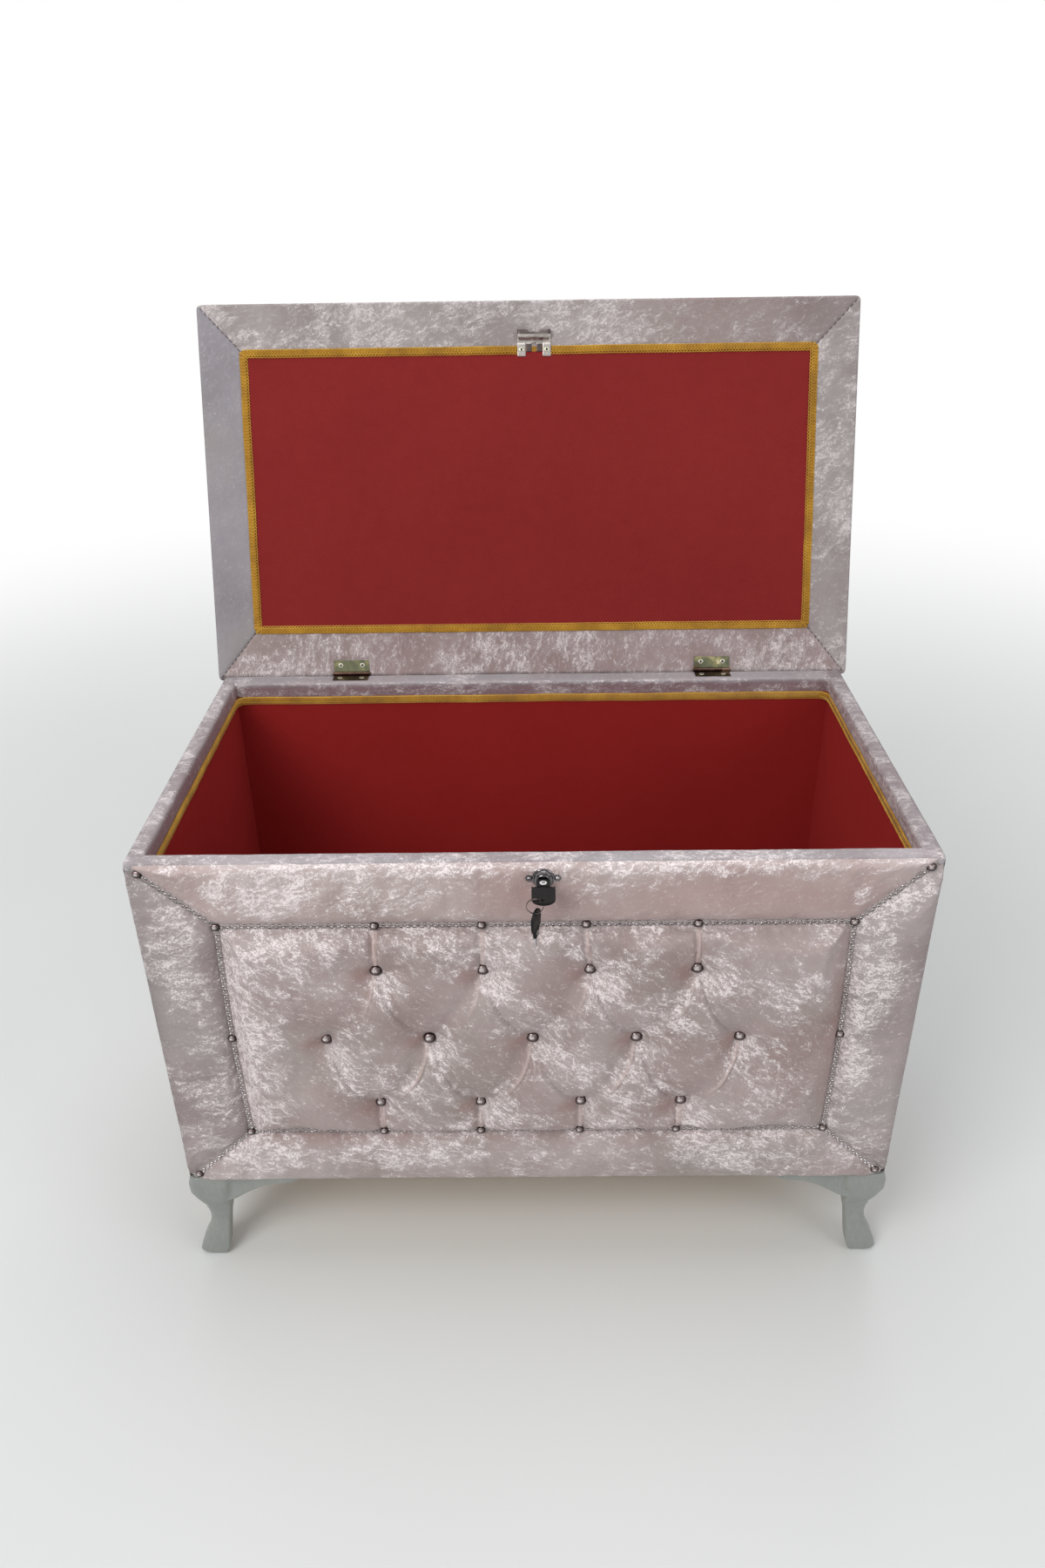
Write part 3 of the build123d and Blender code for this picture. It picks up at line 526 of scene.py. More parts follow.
def chromate(name, stops, rough=0.2, rolled=None):
    """Passivated metal with drifting tints; below the height 'rolled', where the leaf wraps its pin, painted dark brown
    as shade.
    """
    f = Finish(name)
    hair = f.grain(1.0, 2.0, 0.6, where=f.place((80, 1200, 1200)))
    mixed = f.grain(34.0, 3.0, 0.5, 0.8) * 0.88 + hair * 0.12
    colour = f.tones(mixed, stops)
    if rolled:
        height = Level(f.tree, f.add("ShaderNodeSeparateXYZ", i0=f.here).outputs["Z"])
        # painted shade: dark brown below the height rolled, over the pin's barrel
        colour = f.tinted(colour, height.window(rolled + 0.0004, rolled - 0.0006), (74, 54, 46))
    f.relief(hair, 0.00005, 0.3)
    return f.done(Base_Color=colour, Metallic=1.0, Roughness=mixed.window(0.3, 0.7, rough * 1.4, rough * 0.7))


def screw_metal():
    """Pale screw heads; the point value 'crown' is 1 down in the drive recess, painted dark there as shade."""
    f = Finish("screw_metal")
    mixed = f.value("crown") + (f.grain(500.0, 2.0, 0.6) - 0.5) * 0.5
    colour = f.tones(mixed, ((0.15, (184, 182, 164)), (0.45, (120, 116, 104)), (0.75, (40, 36, 32))))
    return f.done(Base_Color=colour, Metallic=0.7, Roughness=mixed.window(0.0, 1.0, 0.3, 0.55))


def nail_chrome():
    """Smoked chrome with a painted highlight; 'crown' is 0 to 1 over the head, lightest at a spot up and to the left of
    its top and darkest at its foot.
    """
    f = Finish("nail_chrome")
    spots = f.grain(700.0, 3.0, 0.6)
    mixed = f.value("crown") + (spots - 0.5) * 0.4
    colour = f.tones(mixed, ((0.12, (50, 43, 42)), (0.5, (84, 73, 72)), (0.8, (140, 127, 126)),
                             (0.96, (236, 229, 228))))
    f.relief(spots, 0.00005, 0.3)
    return f.done(Base_Color=colour, Metallic=1.0, Roughness=mixed.window(0.2, 1.0, 0.34, 0.12))


def glass_stone():
    """Small dark-backed stones."""
    f = Finish("glass_stone")
    glitter = f.grain(420.0, 2.0, 0.5)
    colour = f.tones(glitter, ((0.36, (44, 42, 43)), (0.52, (84, 80, 82)), (0.66, (206, 202, 204))))
    return f.done(Base_Color=colour, Metallic=0.6, Roughness=glitter.window(0.35, 0.65, 0.3, 0.08))


def grey_lacquer():
    """Pale grey lacquer over carved wood."""
    f = Finish("grey_lacquer")
    brush = f.grain(1.0, 3.0, 0.6, where=f.place((500, 500, 60)))
    mixed = f.grain(14.0, 4.0, 0.6) * 0.6 + brush * 0.4
    f.relief(mixed, 0.0004, 0.35)
    return f.done(Base_Color=f.tones(mixed, ((0.3, (130, 133, 130)), (0.5, (143, 146, 142)), (0.7, (154, 157, 152)))),
                  Roughness=mixed.window(0.3, 0.7, 0.34, 0.5), Coat_Weight=0.15, Coat_Roughness=0.3)


def pine_board():
    """Planed softwood boards."""
    f = Finish("pine_board")
    rings = f.grain(1.0, 5.0, 0.6, 1.5, f.place((3.0, 40.0, 40.0)))
    mixed = rings * 0.75 + f.grain(1.0, 2.0, 0.6, where=f.place((60, 900, 900))) * 0.25
    f.relief(mixed, 0.0005, 0.4)
    return f.done(Base_Color=f.tones(mixed, ((0.3, (150, 110, 66)), (0.5, (196, 158, 108)), (0.7, (218, 188, 142)))),
                  Roughness=0.65)


def black_key_plastic():
    """Moulded black key bow."""
    f = Finish("black_key_plastic")
    wear = f.grain(120.0, 4.0, 0.6)
    f.relief(f.grain(1600.0, 2.0, 0.5), 0.0002, 0.4)
    return f.done(Base_Color=f.tones(wear, ((0.35, (9, 8, 9)), (0.65, (20, 19, 20)))),
                  Roughness=wear.window(0.3, 0.7, 0.34, 0.55), Specular_IOR_Level=0.2)


def dark_thread():
    """Grey sewing thread."""
    f = Finish("dark_thread")
    ply = f.grain(1800.0, 2.0, 0.6)
    f.relief(ply, 0.0003, 0.5)
    return f.done(Base_Color=f.tones(ply, ((0.35, (62, 56, 60)), (0.65, (96, 88, 92)))), Roughness=0.7)


# One velvet in lit and shaded copies: each face's copy is painted lighter, darker, pinker and greyer for how light
# falls on it, and deep is its painted shade
VELVET = crushed_velvet("front_velvet", (152, 133, 130), (164, 147, 145), (175, 161, 159), (196, 185, 185))
TOP_VELVET = crushed_velvet("top_velvet", (168, 147, 144), (182, 163, 160), (190, 175, 173), (204, 193, 193),
                            -0.03, 20.0, (170, 141, 138), chill=0.2)
SIDE_VELVET = crushed_velvet("side_velvet", (150, 137, 136), (162, 149, 148), (172, 160, 159), (192, 183, 184),
                             0.0, 12.0, (148, 132, 130), (150, 148, 146), 0.35)
LOW_VELVET = crushed_velvet("low_velvet", (158, 143, 140), (171, 156, 154), (181, 169, 167), (200, 191, 191),
                            0.0, -12.0)
RIM_VELVET = crushed_velvet("rim_velvet", (146, 135, 138), (158, 149, 152), (169, 161, 165), (194, 188, 192),
                            -0.02, 0.0, (142, 106, 113), (152, 153, 157), sparkle=0.56)
LID_VELVET = crushed_velvet("lid_velvet", (138, 128, 127), (149, 140, 139), (160, 152, 151), (182, 175, 175),
                            -0.05, 25.0, sparkle=0.34)
LID_BACK_VELVET = crushed_velvet("lid_back_velvet", (138, 122, 123), (150, 135, 136), (161, 148, 149),
                                 (188, 178, 180), -0.01, 78.0, sparkle=0.44)
LID_SHADE_VELVET = crushed_velvet("lid_shade_velvet", (136, 130, 136), (146, 141, 147), (155, 149, 155),
                                  (170, 165, 171), -0.16, 60.0, sparkle=0.16)
PLAIN_VELVET = crushed_velvet("cover_velvet", (142, 129, 128), (154, 142, 141), (165, 154, 153), (186, 178, 180),
                              -0.02, 10.0, sparkle=0.6)
# One felt in two copies, painted for how light falls: the lid's darker, the box's lighter
FELT = red_felt("red_felt", (120, 32, 32), (131, 38, 38), (140, 44, 43))
BOX_FELT = red_felt("box_felt", (139, 32, 32), (151, 37, 36), (161, 43, 41))
GIMP = gold_gimp()
GIMP_GROUND = woven("gimp_ground", 1300.0, (128, 88, 16), (174, 126, 28), Roughness=0.8)
STONE = glass_stone()
BAND = woven("stone_band", 1100.0, (134, 125, 124), (188, 179, 177), Metallic=0.3, Roughness=0.5)
BRIGHT_CUP = metal("bright_cup", (172, 166, 166), (240, 236, 236), 0.25, 260.0)
SMOKED = nail_chrome()
YELLOW_ZINC = chromate("yellow_zinc", ((0.36, (94, 76, 58)), (0.45, (92, 96, 80)), (0.54, (116, 116, 90)),
                                       (0.62, (150, 142, 104)), (0.7, (214, 206, 168))), rolled=(PIN_Z + 2.5) / 1000.0)
# painted shade: the yellow zinc made dark brown where it reflects the dark inside of the box and lies in its shade
SHADED_ZINC = chromate("bronzed_zinc", ((0.36, (52, 38, 34)), (0.52, (84, 64, 56)), (0.62, (120, 98, 84)),
                                    (0.7, (176, 156, 140))))
SCREW = screw_metal()
# the strike's painted shade is (80, 72, 71)
STRIKE_STEEL = metal("strike_steel", (168, 160, 154), (222, 216, 210), 0.34, 90.0, shading_colour=(80, 72, 71))
EYELET_STEEL = metal("eyelet_steel", (206, 206, 206), (246, 246, 246), 0.3, 60.0)
STEEL = metal("bright_steel", (150, 150, 152), (206, 206, 208), 0.2, 60.0)
DARK_CHROME = metal("dark_chrome", (58, 56, 58), (138, 134, 136), 0.1, 90.0)
RING_STEEL = metal("ring_steel", (84, 74, 72), (140, 130, 126), 0.25, 90.0)
LACQUER = grey_lacquer()
PINE = pine_board()
KEY_BLACK = black_key_plastic()
THREAD = dark_thread()

SLOT_FINISH = {"board": PINE, "velvet": PLAIN_VELVET, "lining": FELT, "braid": GIMP, "bead": BAND, "nail": SMOKED,
               "foot": LACQUER, "zinc": YELLOW_ZINC, "steel": STEEL, "dark_chrome": DARK_CHROME,
               "key_plastic": KEY_BLACK}
NODE_FINISH = {"hinge_rim_leaf_left": SHADED_ZINC, "hinge_rim_leaf_right": SHADED_ZINC, "hinge_pins": SHADED_ZINC,
               "lock_case_screws": SHADED_ZINC, "key_ring": RING_STEEL, "key_eyelet": EYELET_STEEL}


def drawn_lock():
    """Lock case set a little lower and its hook drawn down, both out of sight below the rim."""
    for name, body, steps in (("lock_case", "chest", ((RIM_Z - 8.6, 2.0),)),
                              ("lock_bolt", "bolt", ((RIM_Z - 10.0, 1.4), (RIM_Z - 8.5, 8.0)))):
        piece = copied("drawn_", name)
        p = read_points(piece.data) * 1000.0
        p[:, 2] -= sum(drop * (p[:, 2] > above) for above, drop in steps)
        write_points(piece.data, p / 1000.0)
        place_piece(piece, body, [name], finish=SHADED_ZINC)


def finish_hardware():
    """Give every frame node the finish of its slot."""
    for row in frame["record"]["subparts"]:
        piece = nodes[row["node"]]
        for slot in piece.material_slots:
            slot.material = NODE_FINISH.get(row["node"], SLOT_FINISH[row["material_slot"]])


def place_piece(piece, body, replaced=(), finish=None):
    """Finish and body of a piece, and the frame nodes that it stands for and hides."""
    if finish:
        paint(piece, finish)
    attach(piece, body)
    if replaced:
        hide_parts(*replaced)


# ---------------------------------------------------------------- rows along a path

def row_tree():
    """Sets copies of one small item along a path, each facing the way that the path's 'out' says."""
    tree = bpy.data.node_groups.new("row_along_path", "GeometryNodeTree")
    for name, way, kind in (("Path", "INPUT", "Geometry"), ("Item", "INPUT", "Object"), ("Pitch", "INPUT", "Float"),
                            ("Wobble", "INPUT", "Float"), ("Finish", "INPUT", "Material"),
                            ("Row", "OUTPUT", "Geometry")):
        tree.interface.new_socket(name=name, in_out=way, socket_type="NodeSocket" + kind)
    start = wire(tree, "NodeGroupInput").outputs
    curve = wire(tree, "GeometryNodeMeshToCurve", i0=start["Path"]).outputs[0]
    spread = wire(tree, "GeometryNodeResampleCurve", {"mode": "LENGTH"}, Curve=curve, Length=start["Pitch"])
    along = wire(tree, "GeometryNodeInputTangent").outputs[0]
    out = wire(tree, "GeometryNodeInputNamedAttribute", {"data_type": "FLOAT_VECTOR"}, Name="out").outputs["Attribute"]
    turn = wire(tree, "FunctionNodeAlignRotationToVector", {"axis": "X"}, Vector=along).outputs[0]
    turn = wire(tree, "FunctionNodeAlignRotationToVector", {"axis": "Z", "pivot_axis": "X"}, Rotation=turn, Vector=out)
    item = wire(tree, "GeometryNodeObjectInfo", Object=start["Item"]).outputs["Geometry"]
    copies = wire(tree, "GeometryNodeInstanceOnPoints", Points=spread.outputs[0], Instance=item,
                  Rotation=turn.outputs[0]).outputs[0]
    shake = wire(tree, "FunctionNodeRandomValue", {"data_type": "FLOAT_VECTOR"},
                 i0=Level(tree, start["Wobble"]) * -1.0, i1=start["Wobble"], Seed=7).outputs[0]
    copies = wire(tree, "GeometryNodeRotateInstances", Instances=copies, Rotation=shake).outputs[0]
    real = wire(tree, "GeometryNodeRealizeInstances", i0=copies).outputs[0]
    coat = wire(tree, "GeometryNodeSetMaterial", Geometry=real, Material=start["Finish"]).outputs[0]
    wire(tree, "NodeGroupOutput", i0=coat)
    return tree


ROW = row_tree()


def row_along(name, paths, item, pitch, finish, wobble=0.0):
    """One mesh of items along several paths; each path is (points, outs) in frame metres."""
    verts, edges, outs = [], [], []
    for points, out in paths:
        edges += [(len(verts) + i, len(verts) + i + 1) for i in range(len(points) - 1)]
        verts += [tuple(p) for p in points]
        outs += [tuple(o) for o in out]
    mesh = bpy.data.meshes.new(name)
    mesh.from_pydata(verts, edges, [])
    layer = mesh.attributes.new("out", "FLOAT_VECTOR", "POINT")
    layer.data.foreach_set("vector", np.asarray(outs, np.float32).reshape(-1))
    piece = add_piece(name, mesh)
    rows = piece.modifiers.new("row", "NODES")
    rows.node_group = ROW
    values = {"Item": item, "Pitch": pitch, "Wobble": wobble, "Finish": finish}
    for socket in ROW.interface.items_tree:
        if socket.in_out == "INPUT" and socket.name in values:
            rows[socket.identifier] = values[socket.name]
    bake_modifiers(piece)
    drop_layers(piece.data, "out")
    shade(piece.data, 50)
    return piece


def small_item(name, build):
    """A pattern item for a row, off stage: build fills a bmesh in metres about the origin."""
    return bpy.data.objects.new(name, reworked(bpy.data.meshes.new(name), build))


def circle(work, radius, height, around, centre=(0.0, 0.0)):
    """Ring of points at a height."""
    turns = [2 * math.pi * i / around for i in range(around)]
    return [work.verts.new((centre[0] + radius * math.cos(a), centre[1] + radius * math.sin(a), height))
            for a in turns]


def skin(work, rings):
    """Quads between neighbouring rings of points."""
    for low, high in zip(rings, rings[1:]):
        for i in range(len(low)):
            j = (i + 1) % len(low)
            work.faces.new((low[i], low[j], high[j], high[i]))


def cap(work, ring, top):
    """Triangles from a ring up to one point."""
    for i in range(len(ring)):
        work.faces.new((ring[i], ring[(i + 1) % len(ring)], top))


def dome(work, radius, height, around, rings, centre=(0.0, 0.0), base=0.0):
    """Half-round cap standing on the plane z = base."""
    slopes = [0.5 * math.pi * k / rings for k in range(rings)]
    loops = [circle(work, radius * math.cos(a), base + height * math.sin(a), around, centre) for a in slopes]
    top = work.verts.new((*centre, base + height))
    skin(work, loops)
    cap(work, loops[-1], top)
    return loops[0]


def yarn(work, points, radius, sides=5):
    """Bent tube through points, in metres, closed at both ends."""
    pts = [Vector(p) for p in points]
    rings = []
    for i, p in enumerate(pts):
        t = (pts[min(i + 1, len(pts) - 1)] - pts[max(i - 1, 0)]).normalized()
        side = t.cross(Vector((0, 0, 1)))
        side = side.normalized() if side.length > 1e-6 else Vector((1, 0, 0))
        up = side.cross(t)
        rings.append([work.verts.new(p + radius * (math.cos(2 * math.pi * k / sides) * side
                                                   + math.sin(2 * math.pi * k / sides) * up)) for k in range(sides)])
    for a, b in zip(rings, rings[1:]):
        for k in range(sides):
            m = (k + 1) % sides
            work.faces.new((a[k], b[k], b[m], a[m]))
    work.faces.new(rings[0])
    work.faces.new(list(reversed(rings[-1])))


# ---------------------------------------------------------------- front

def tuft_rows():
    """Places of the buttons, row by row from the top."""
    return [[(centre + (i - (count - 1) / 2) * TUFT_PITCH, RIM_Z - drop) for i in range(count)]
            for drop, count, centre in TUFT_ROWS]


def tufts():
    return sum(tuft_rows(), [])


def diagonals():
    """Buttons of neighbouring rows that a fold joins, each pair with the number of its upper row."""
    rows = tuft_rows()
    return [(a, b, k) for k in (0, 1) for a in rows[k] for b in rows[k + 1] if abs(a[0] - b[0]) < TUFT_PITCH * 0.75]


def pleats():
    """Buttons of the outer rows, each with the nail that its pleat runs to."""
    rows = tuft_rows()
    return [(a, (min(nails, key=lambda x: abs(x - a[0])), level))
            for row, nails, level in ((rows[0], TOP_NAILS_X, PANEL_Z1), (rows[-1], BOTTOM_NAILS_X, PANEL_Z0))
            for a in row]


def trim_nails():
    spots = list(CORNER_NAILS)
    for x in (-PANEL_X, PANEL_X):
        spots += [(x, PANEL_Z0), (x, PANEL_Z1), (x, SIDE_NAIL_Z)]
    return spots + [(x, PANEL_Z1) for x in TOP_NAILS_X] + [(x, PANEL_Z0) for x in BOTTOM_NAILS_X]


def bowed(points):
    """Front points (x, y, z) with the two side seams bowed a little outwards between their corners."""
    p = np.array(points, float)
    t = np.clip((p[..., 2] - PANEL_Z0) / (PANEL_Z1 - PANEL_Z0), 0.0, 1.0)
    away = np.exp(-((np.abs(p[..., 0]) - PANEL_X) / 52.0) ** 2)
    p[..., 0] += np.sign(p[..., 0]) * away * (3.0 * np.sin(math.pi * t) + 1.6 * (p[..., 0] > 0))
    return p


def rise(d, reach=8.6):
    """How far a stuffed pad has risen at a distance from its seam, 0 to 1."""
    d = np.clip(d, 0.0, None)
    return 1.0 - np.exp(-(d / reach) ** 1.25)


def crease(x, z, a, b, width, depth, end_width, end_depth):
    """Fold in the cover between two points: narrow and deep at its ends, soft in its middle."""
    t, side, length = beside(x, z, a, b)
    end = np.abs(2 * np.clip(t, 0.0, 1.0) - 1) ** 2
    w = width + (end_width - width) * end
    d = depth + (end_depth - depth) * end
    over = np.clip(np.abs(t - 0.5) - 0.5, 0.0, None) * length
    return d * np.exp(-(side / w) ** 2) * np.exp(-(over / w) ** 2)


def beside(x, z, a, b):
    """Share of the way from a to b, distance to the right of it, and its length."""
    dx, dz = b[0] - a[0], b[1] - a[1]
    length = math.hypot(dx, dz)
    t = ((x - a[0]) * dx + (z - a[1]) * dz) / length ** 2
    side = ((x - a[0]) * dz - (z - a[1]) * dx) / length
    return t, side, length


def along_bend(x, z, a, c, b, pieces=18):
    """Share of the way along a bent fold a-c-b, and signed distance from it."""
    ts = np.linspace(0, 1, pieces + 1)
    line = [[(1 - t) ** 2 * a[k] + 2 * t * (1 - t) * c[k] + t * t * b[k] for k in (0, 1)] for t in ts]
    best = np.full(x.shape, 1e9)
    share, signed = np.zeros(x.shape), np.zeros(x.shape)
    for i, (p, q) in enumerate(zip(line, line[1:])):
        t, side, length = beside(x, z, p, q)
        k = np.clip(t, 0, 1)
        far = np.hypot(side, (t - k) * length)
        closer = far < best
        best = np.where(closer, far, best)
        share = np.where(closer, (i + k) / pieces, share)
        signed = np.where(closer, np.sign(side) * far, signed)
    return share, signed


def bump(d, wide):
    return np.exp(-(d / wide) ** 2)


def twin(d, apart, wide):
    """Two bumps, one on each side."""
    return bump(d - apart, wide) + bump(d + apart, wide)


def panel_folds(x, z):
    """Fine folds of the centre pad: rise in millimetres, painted highlight on their edges, and brushed strokes beside
    them.
    """
    lift, ridge_highlight, crushed = np.zeros(x.shape), np.zeros(x.shape), np.zeros(x.shape)
    draw = random.Random(23)
    for a, b, row in diagonals():
        left = b[0] < a[0]
        bend = (a[0] + (0.10 if left else 0.22) * (b[0] - a[0]), a[1] + 0.60 * (b[1] - a[1]))
        t, d = along_bend(x, z, (a[0] + (-2 if left else 2), a[1] - 4), bend, b)
        near = window_of(t, 0.0, 0.05)
        if left:
            much, fades, far, pale = ((0.5, 0.3, 0.55, 0.6), (1.0, 0.45, 0.8, 0.9))[row]
            ends = near * (1 - window_of(t, fades, far))
            lift += much * ends * (1.4 * bump(d - 0.6, 1.7) - 1.4 * bump(d + 2.5, 1.4) - 0.7 * bump(d - 3.8, 1.4))
            ridge_highlight += pale * ends * bump(d - 0.6, 1.7)
        else:
            ends = near * (1 - 0.7 * window_of(t, 0.55, 0.95))
            lift += ends * (0.8 * twin(d, 2.7, 1.7) - 2.0 * bump(d, 1.3))
            crushed += 0.5 * ends * (bump(d - 5.0, 4.0) + bump(d + 4.0, 4.0)) * (1 - window_of(t, 0.4, 0.8))
    for bx, bz in tufts():
        bottom = bz < RIM_Z - 300
        for angle in ((-58, -38, -16, -84, -118, 8, 196, 160) if not bottom else (-30, -8, 24, 200, 165, -150)):
            angle = math.radians(angle + draw.uniform(-7, 7))
            reach = draw.uniform(17, 34) * (1.0 if -2.2 < angle < 0.3 else 0.6)
            bend = draw.uniform(-6, 6)
            tip = (bx + reach * math.cos(angle), bz + reach * math.sin(angle))
            middle = ((bx + tip[0]) / 2 - bend * math.sin(angle), (bz + tip[1]) / 2 + bend * math.cos(angle))
            t, d = along_bend(x, z, (bx, bz), middle, tip, 6)
            ends = (1 - t) ** 1.2
            lift += ends * (-1.1 * bump(d, 1.1) + 0.6 * bump(d - 2.3, 1.3))
            crushed += 0.25 * ends * bump(d - 2.3, 1.6)
    for a, nail in pleats():
        t, d, length = beside(x, z, a, nail)
        inside = bump(np.clip(np.abs(t - 0.5) - 0.5, 0, None) * length, 2.0)
        wide = 2.0 if nail[1] == PANEL_Z1 else 2.6
        lift += inside * (0.9 * bump(d, wide) - 1.8 * twin(d, wide + 1.2, 1.2))
        ridge_highlight += 0.75 * inside * (twin(d, wide - 0.4, 1.0) + 0.35 * bump(d, wide))
    return lift, np.clip(ridge_highlight, 0, 1), crushed


def window_of(t, low, high):
    u = np.clip((t - low) / (high - low), 0, 1)
    return u * u * (3 - 2 * u)


SEAM_MARGIN, CLOTH_STEP = 2.6, 3.6


def inside_panel(x, z):
    """Distances in from the centre pad's side seams, and from its upper and lower ones."""
    return (PANEL_X - SEAM_MARGIN - np.abs(x),
            np.minimum(z - PANEL_Z0 - SEAM_MARGIN, PANEL_Z1 - SEAM_MARGIN - z))


def tufted_panel():
    """Centre pad drawn in by thirteen buttons, with soft diamond folds between them."""
    xs = spaced(2 * (PANEL_X - SEAM_MARGIN), CLOTH_STEP, 0.35) - (PANEL_X - SEAM_MARGIN)
    zs = spaced(PANEL_Z1 - PANEL_Z0 - 2 * SEAM_MARGIN, CLOTH_STEP, 0.35) + PANEL_Z0 + SEAM_MARGIN
    x, z = np.meshgrid(xs, zs, indexing="ij")
    dx, dz = inside_panel(x, z)
    height = PANEL_RISE * rise(dx) * rise(dz)
    fold = np.zeros(x.shape)
    for a, b, _ in diagonals():
        fold = np.maximum(fold, crease(x, z, a, b, 15.0, 1.6, 3.6, 6.0))
    for a, nail in pleats():
        fold = np.maximum(fold, crease(x, z, a, nail, 6.0, 4.0, 4.0, 5.5))
    for bx, bz in tufts():
        r = np.hypot(x - bx, (z - bz) * np.where(z < bz, 0.86, 1.12))
        height *= 1.0 - np.exp(-(np.clip(r - 4.2, 0.0, None) / 12.5) ** 0.95)
    height -= fold * np.clip(height / 6.0, 0.0, 1.0)
    height += (0.5 * lumps(x, 0 * x, z, 46.0, 3.1) + 0.25 * lumps(x, 0 * x, z, 15.0, 5.2)) * rise(dx) * rise(dz)
    y = SEAM_Y - np.clip(height, -0.4, None)
    piece = cloth_grid("tufted_panel", on_chest(bowed(np.stack([x, y, z], axis=-1))), (0, -1, 0))
    held = (dx < 1e-6) | (dz < 1e-6)
    for bx, bz in tufts():
        held |= np.hypot(x - bx, z - bz) < 5.0
    stuff(piece, held.reshape(-1), 1.2, 14, 0.005, -0.035, 0.15)
    finer(piece)
    co = read_points(piece.data)
    fx, fz = co[:, 0] * 1000.0, co[:, 2] * 1000.0
    lift, ridge_highlight, crushed = panel_folds(fx, fz)
    edge = np.clip(np.minimum(*inside_panel(fx, fz)) / 4.0, 0, 1)
    for bx, bz in tufts():
        edge = edge * window_of(np.hypot(fx - bx, fz - bz), 5.0, 8.5)
    co[:, 1] -= 1.35 * lift * edge / 1000.0
    write_points(piece.data, co)
    # painted light on up- and left-facing slopes, painted shade by the buttons, painted highlight on the fold edges
    lay_pile_and_light(piece, lambda p: panel_crush_and_light(p) + crushed, lambda p: panel_painted_shade(p) * (1 - ridge_highlight) - ridge_highlight)
    comb_strokes(piece)
    place_piece(piece, "chest", ["tufted_panel_pad"], finish=VELVET)


def comb_strokes(piece):
    """Strokes of crushed pile that spread down and to the right from each button, painted bright as highlight on that
    side, which faces the light.
    """
    p = read_points(piece.data) * 1000.0
    best = np.full(len(p), 1e9)
    fan, comb = np.zeros(len(p)), np.zeros((len(p), 3))
    for k, (bx, bz) in enumerate(tufts()):
        dx, dz = p[:, 0] - bx, p[:, 2] - bz
        r, angle = np.hypot(dx, dz), np.arctan2(dx, -dz)
        near = r < best
        best = np.where(near, r, best)
        reach = 36.0 if bz > RIM_Z - 300 else 22.0
        sector = window_of(angle, -0.55, 0.1) * (1 - window_of(angle, 0.9, 1.8))
        much = 0.34 + 0.3 * (0.5 + 0.5 * math.sin(5.1 * k + 1.0))
        fan = np.where(near, much * sector * window_of(r, 5.0, 9.0) * np.exp(-(r / reach) ** 2.4), fan)
        row = np.stack([angle * 13.0 + 3.7 * k, r / 24.0, 0 * r + k], axis=1)
        comb = np.where(near[:, None], row, comb)
    store(piece.data, "fan", fan)
    layer = piece.data.attributes.new("comb", "FLOAT_VECTOR", "POINT")
    layer.data.foreach_set("vector", comb.astype(np.float32).reshape(-1))


def panel_painted_shade(p):
    """Painted shade to the left of each button and along the pad's right edge."""
    out = 0.0 * p[:, 0]
    for bx, bz in tufts():
        out += spot(p, bx - 15, bz + 1, 15, 12, 0.95) + spot(p, bx - 5, bz - 26, 12, 16, 0.3)
    return np.clip(out + spot(p, 345, 390, 16, 150, 0.6) - 0.05, 0, 1)


def spot(p, x, z, wide, tall, amount):
    """Soft patch of brushed pile around a place on the front."""
    return amount * np.exp(-((p[:, 0] - x) / wide) ** 2 - ((p[:, 2] - z) / tall) ** 2)


def spots(p, *rows):
    """Sum of several soft patches."""
    return sum(spot(p, *row) for row in rows)


def panel_crush_and_light(p):
    """Where the centre pad's pile is crushed more or less, with painted light: more silvery strokes below and right of
    each button, fewer to its left.
    """
    out = spots(p, (-325, 400, 34, 150, 0.9), (-270, 510, 90, 26, 0.8), (-110, 520, 60, 24, 0.5),
                (20, 520, 50, 22, 0.5), (120, 515, 40, 22, 0.35), (268, 468, 40, 22, 0.8), (300, 400, 40, 60, -0.4),
                (60, 330, 60, 30, -0.3), (-250, 290, 60, 24, -0.4))
    for bx, bz in tufts():
        out += spots(p, (bx + 24, bz - 14, 20, 17, 0.75), (bx + 12, bz + 14, 12, 12, 0.2),
                     (bx - 20, bz, 22, 16, -0.75))
    return out - 0.12


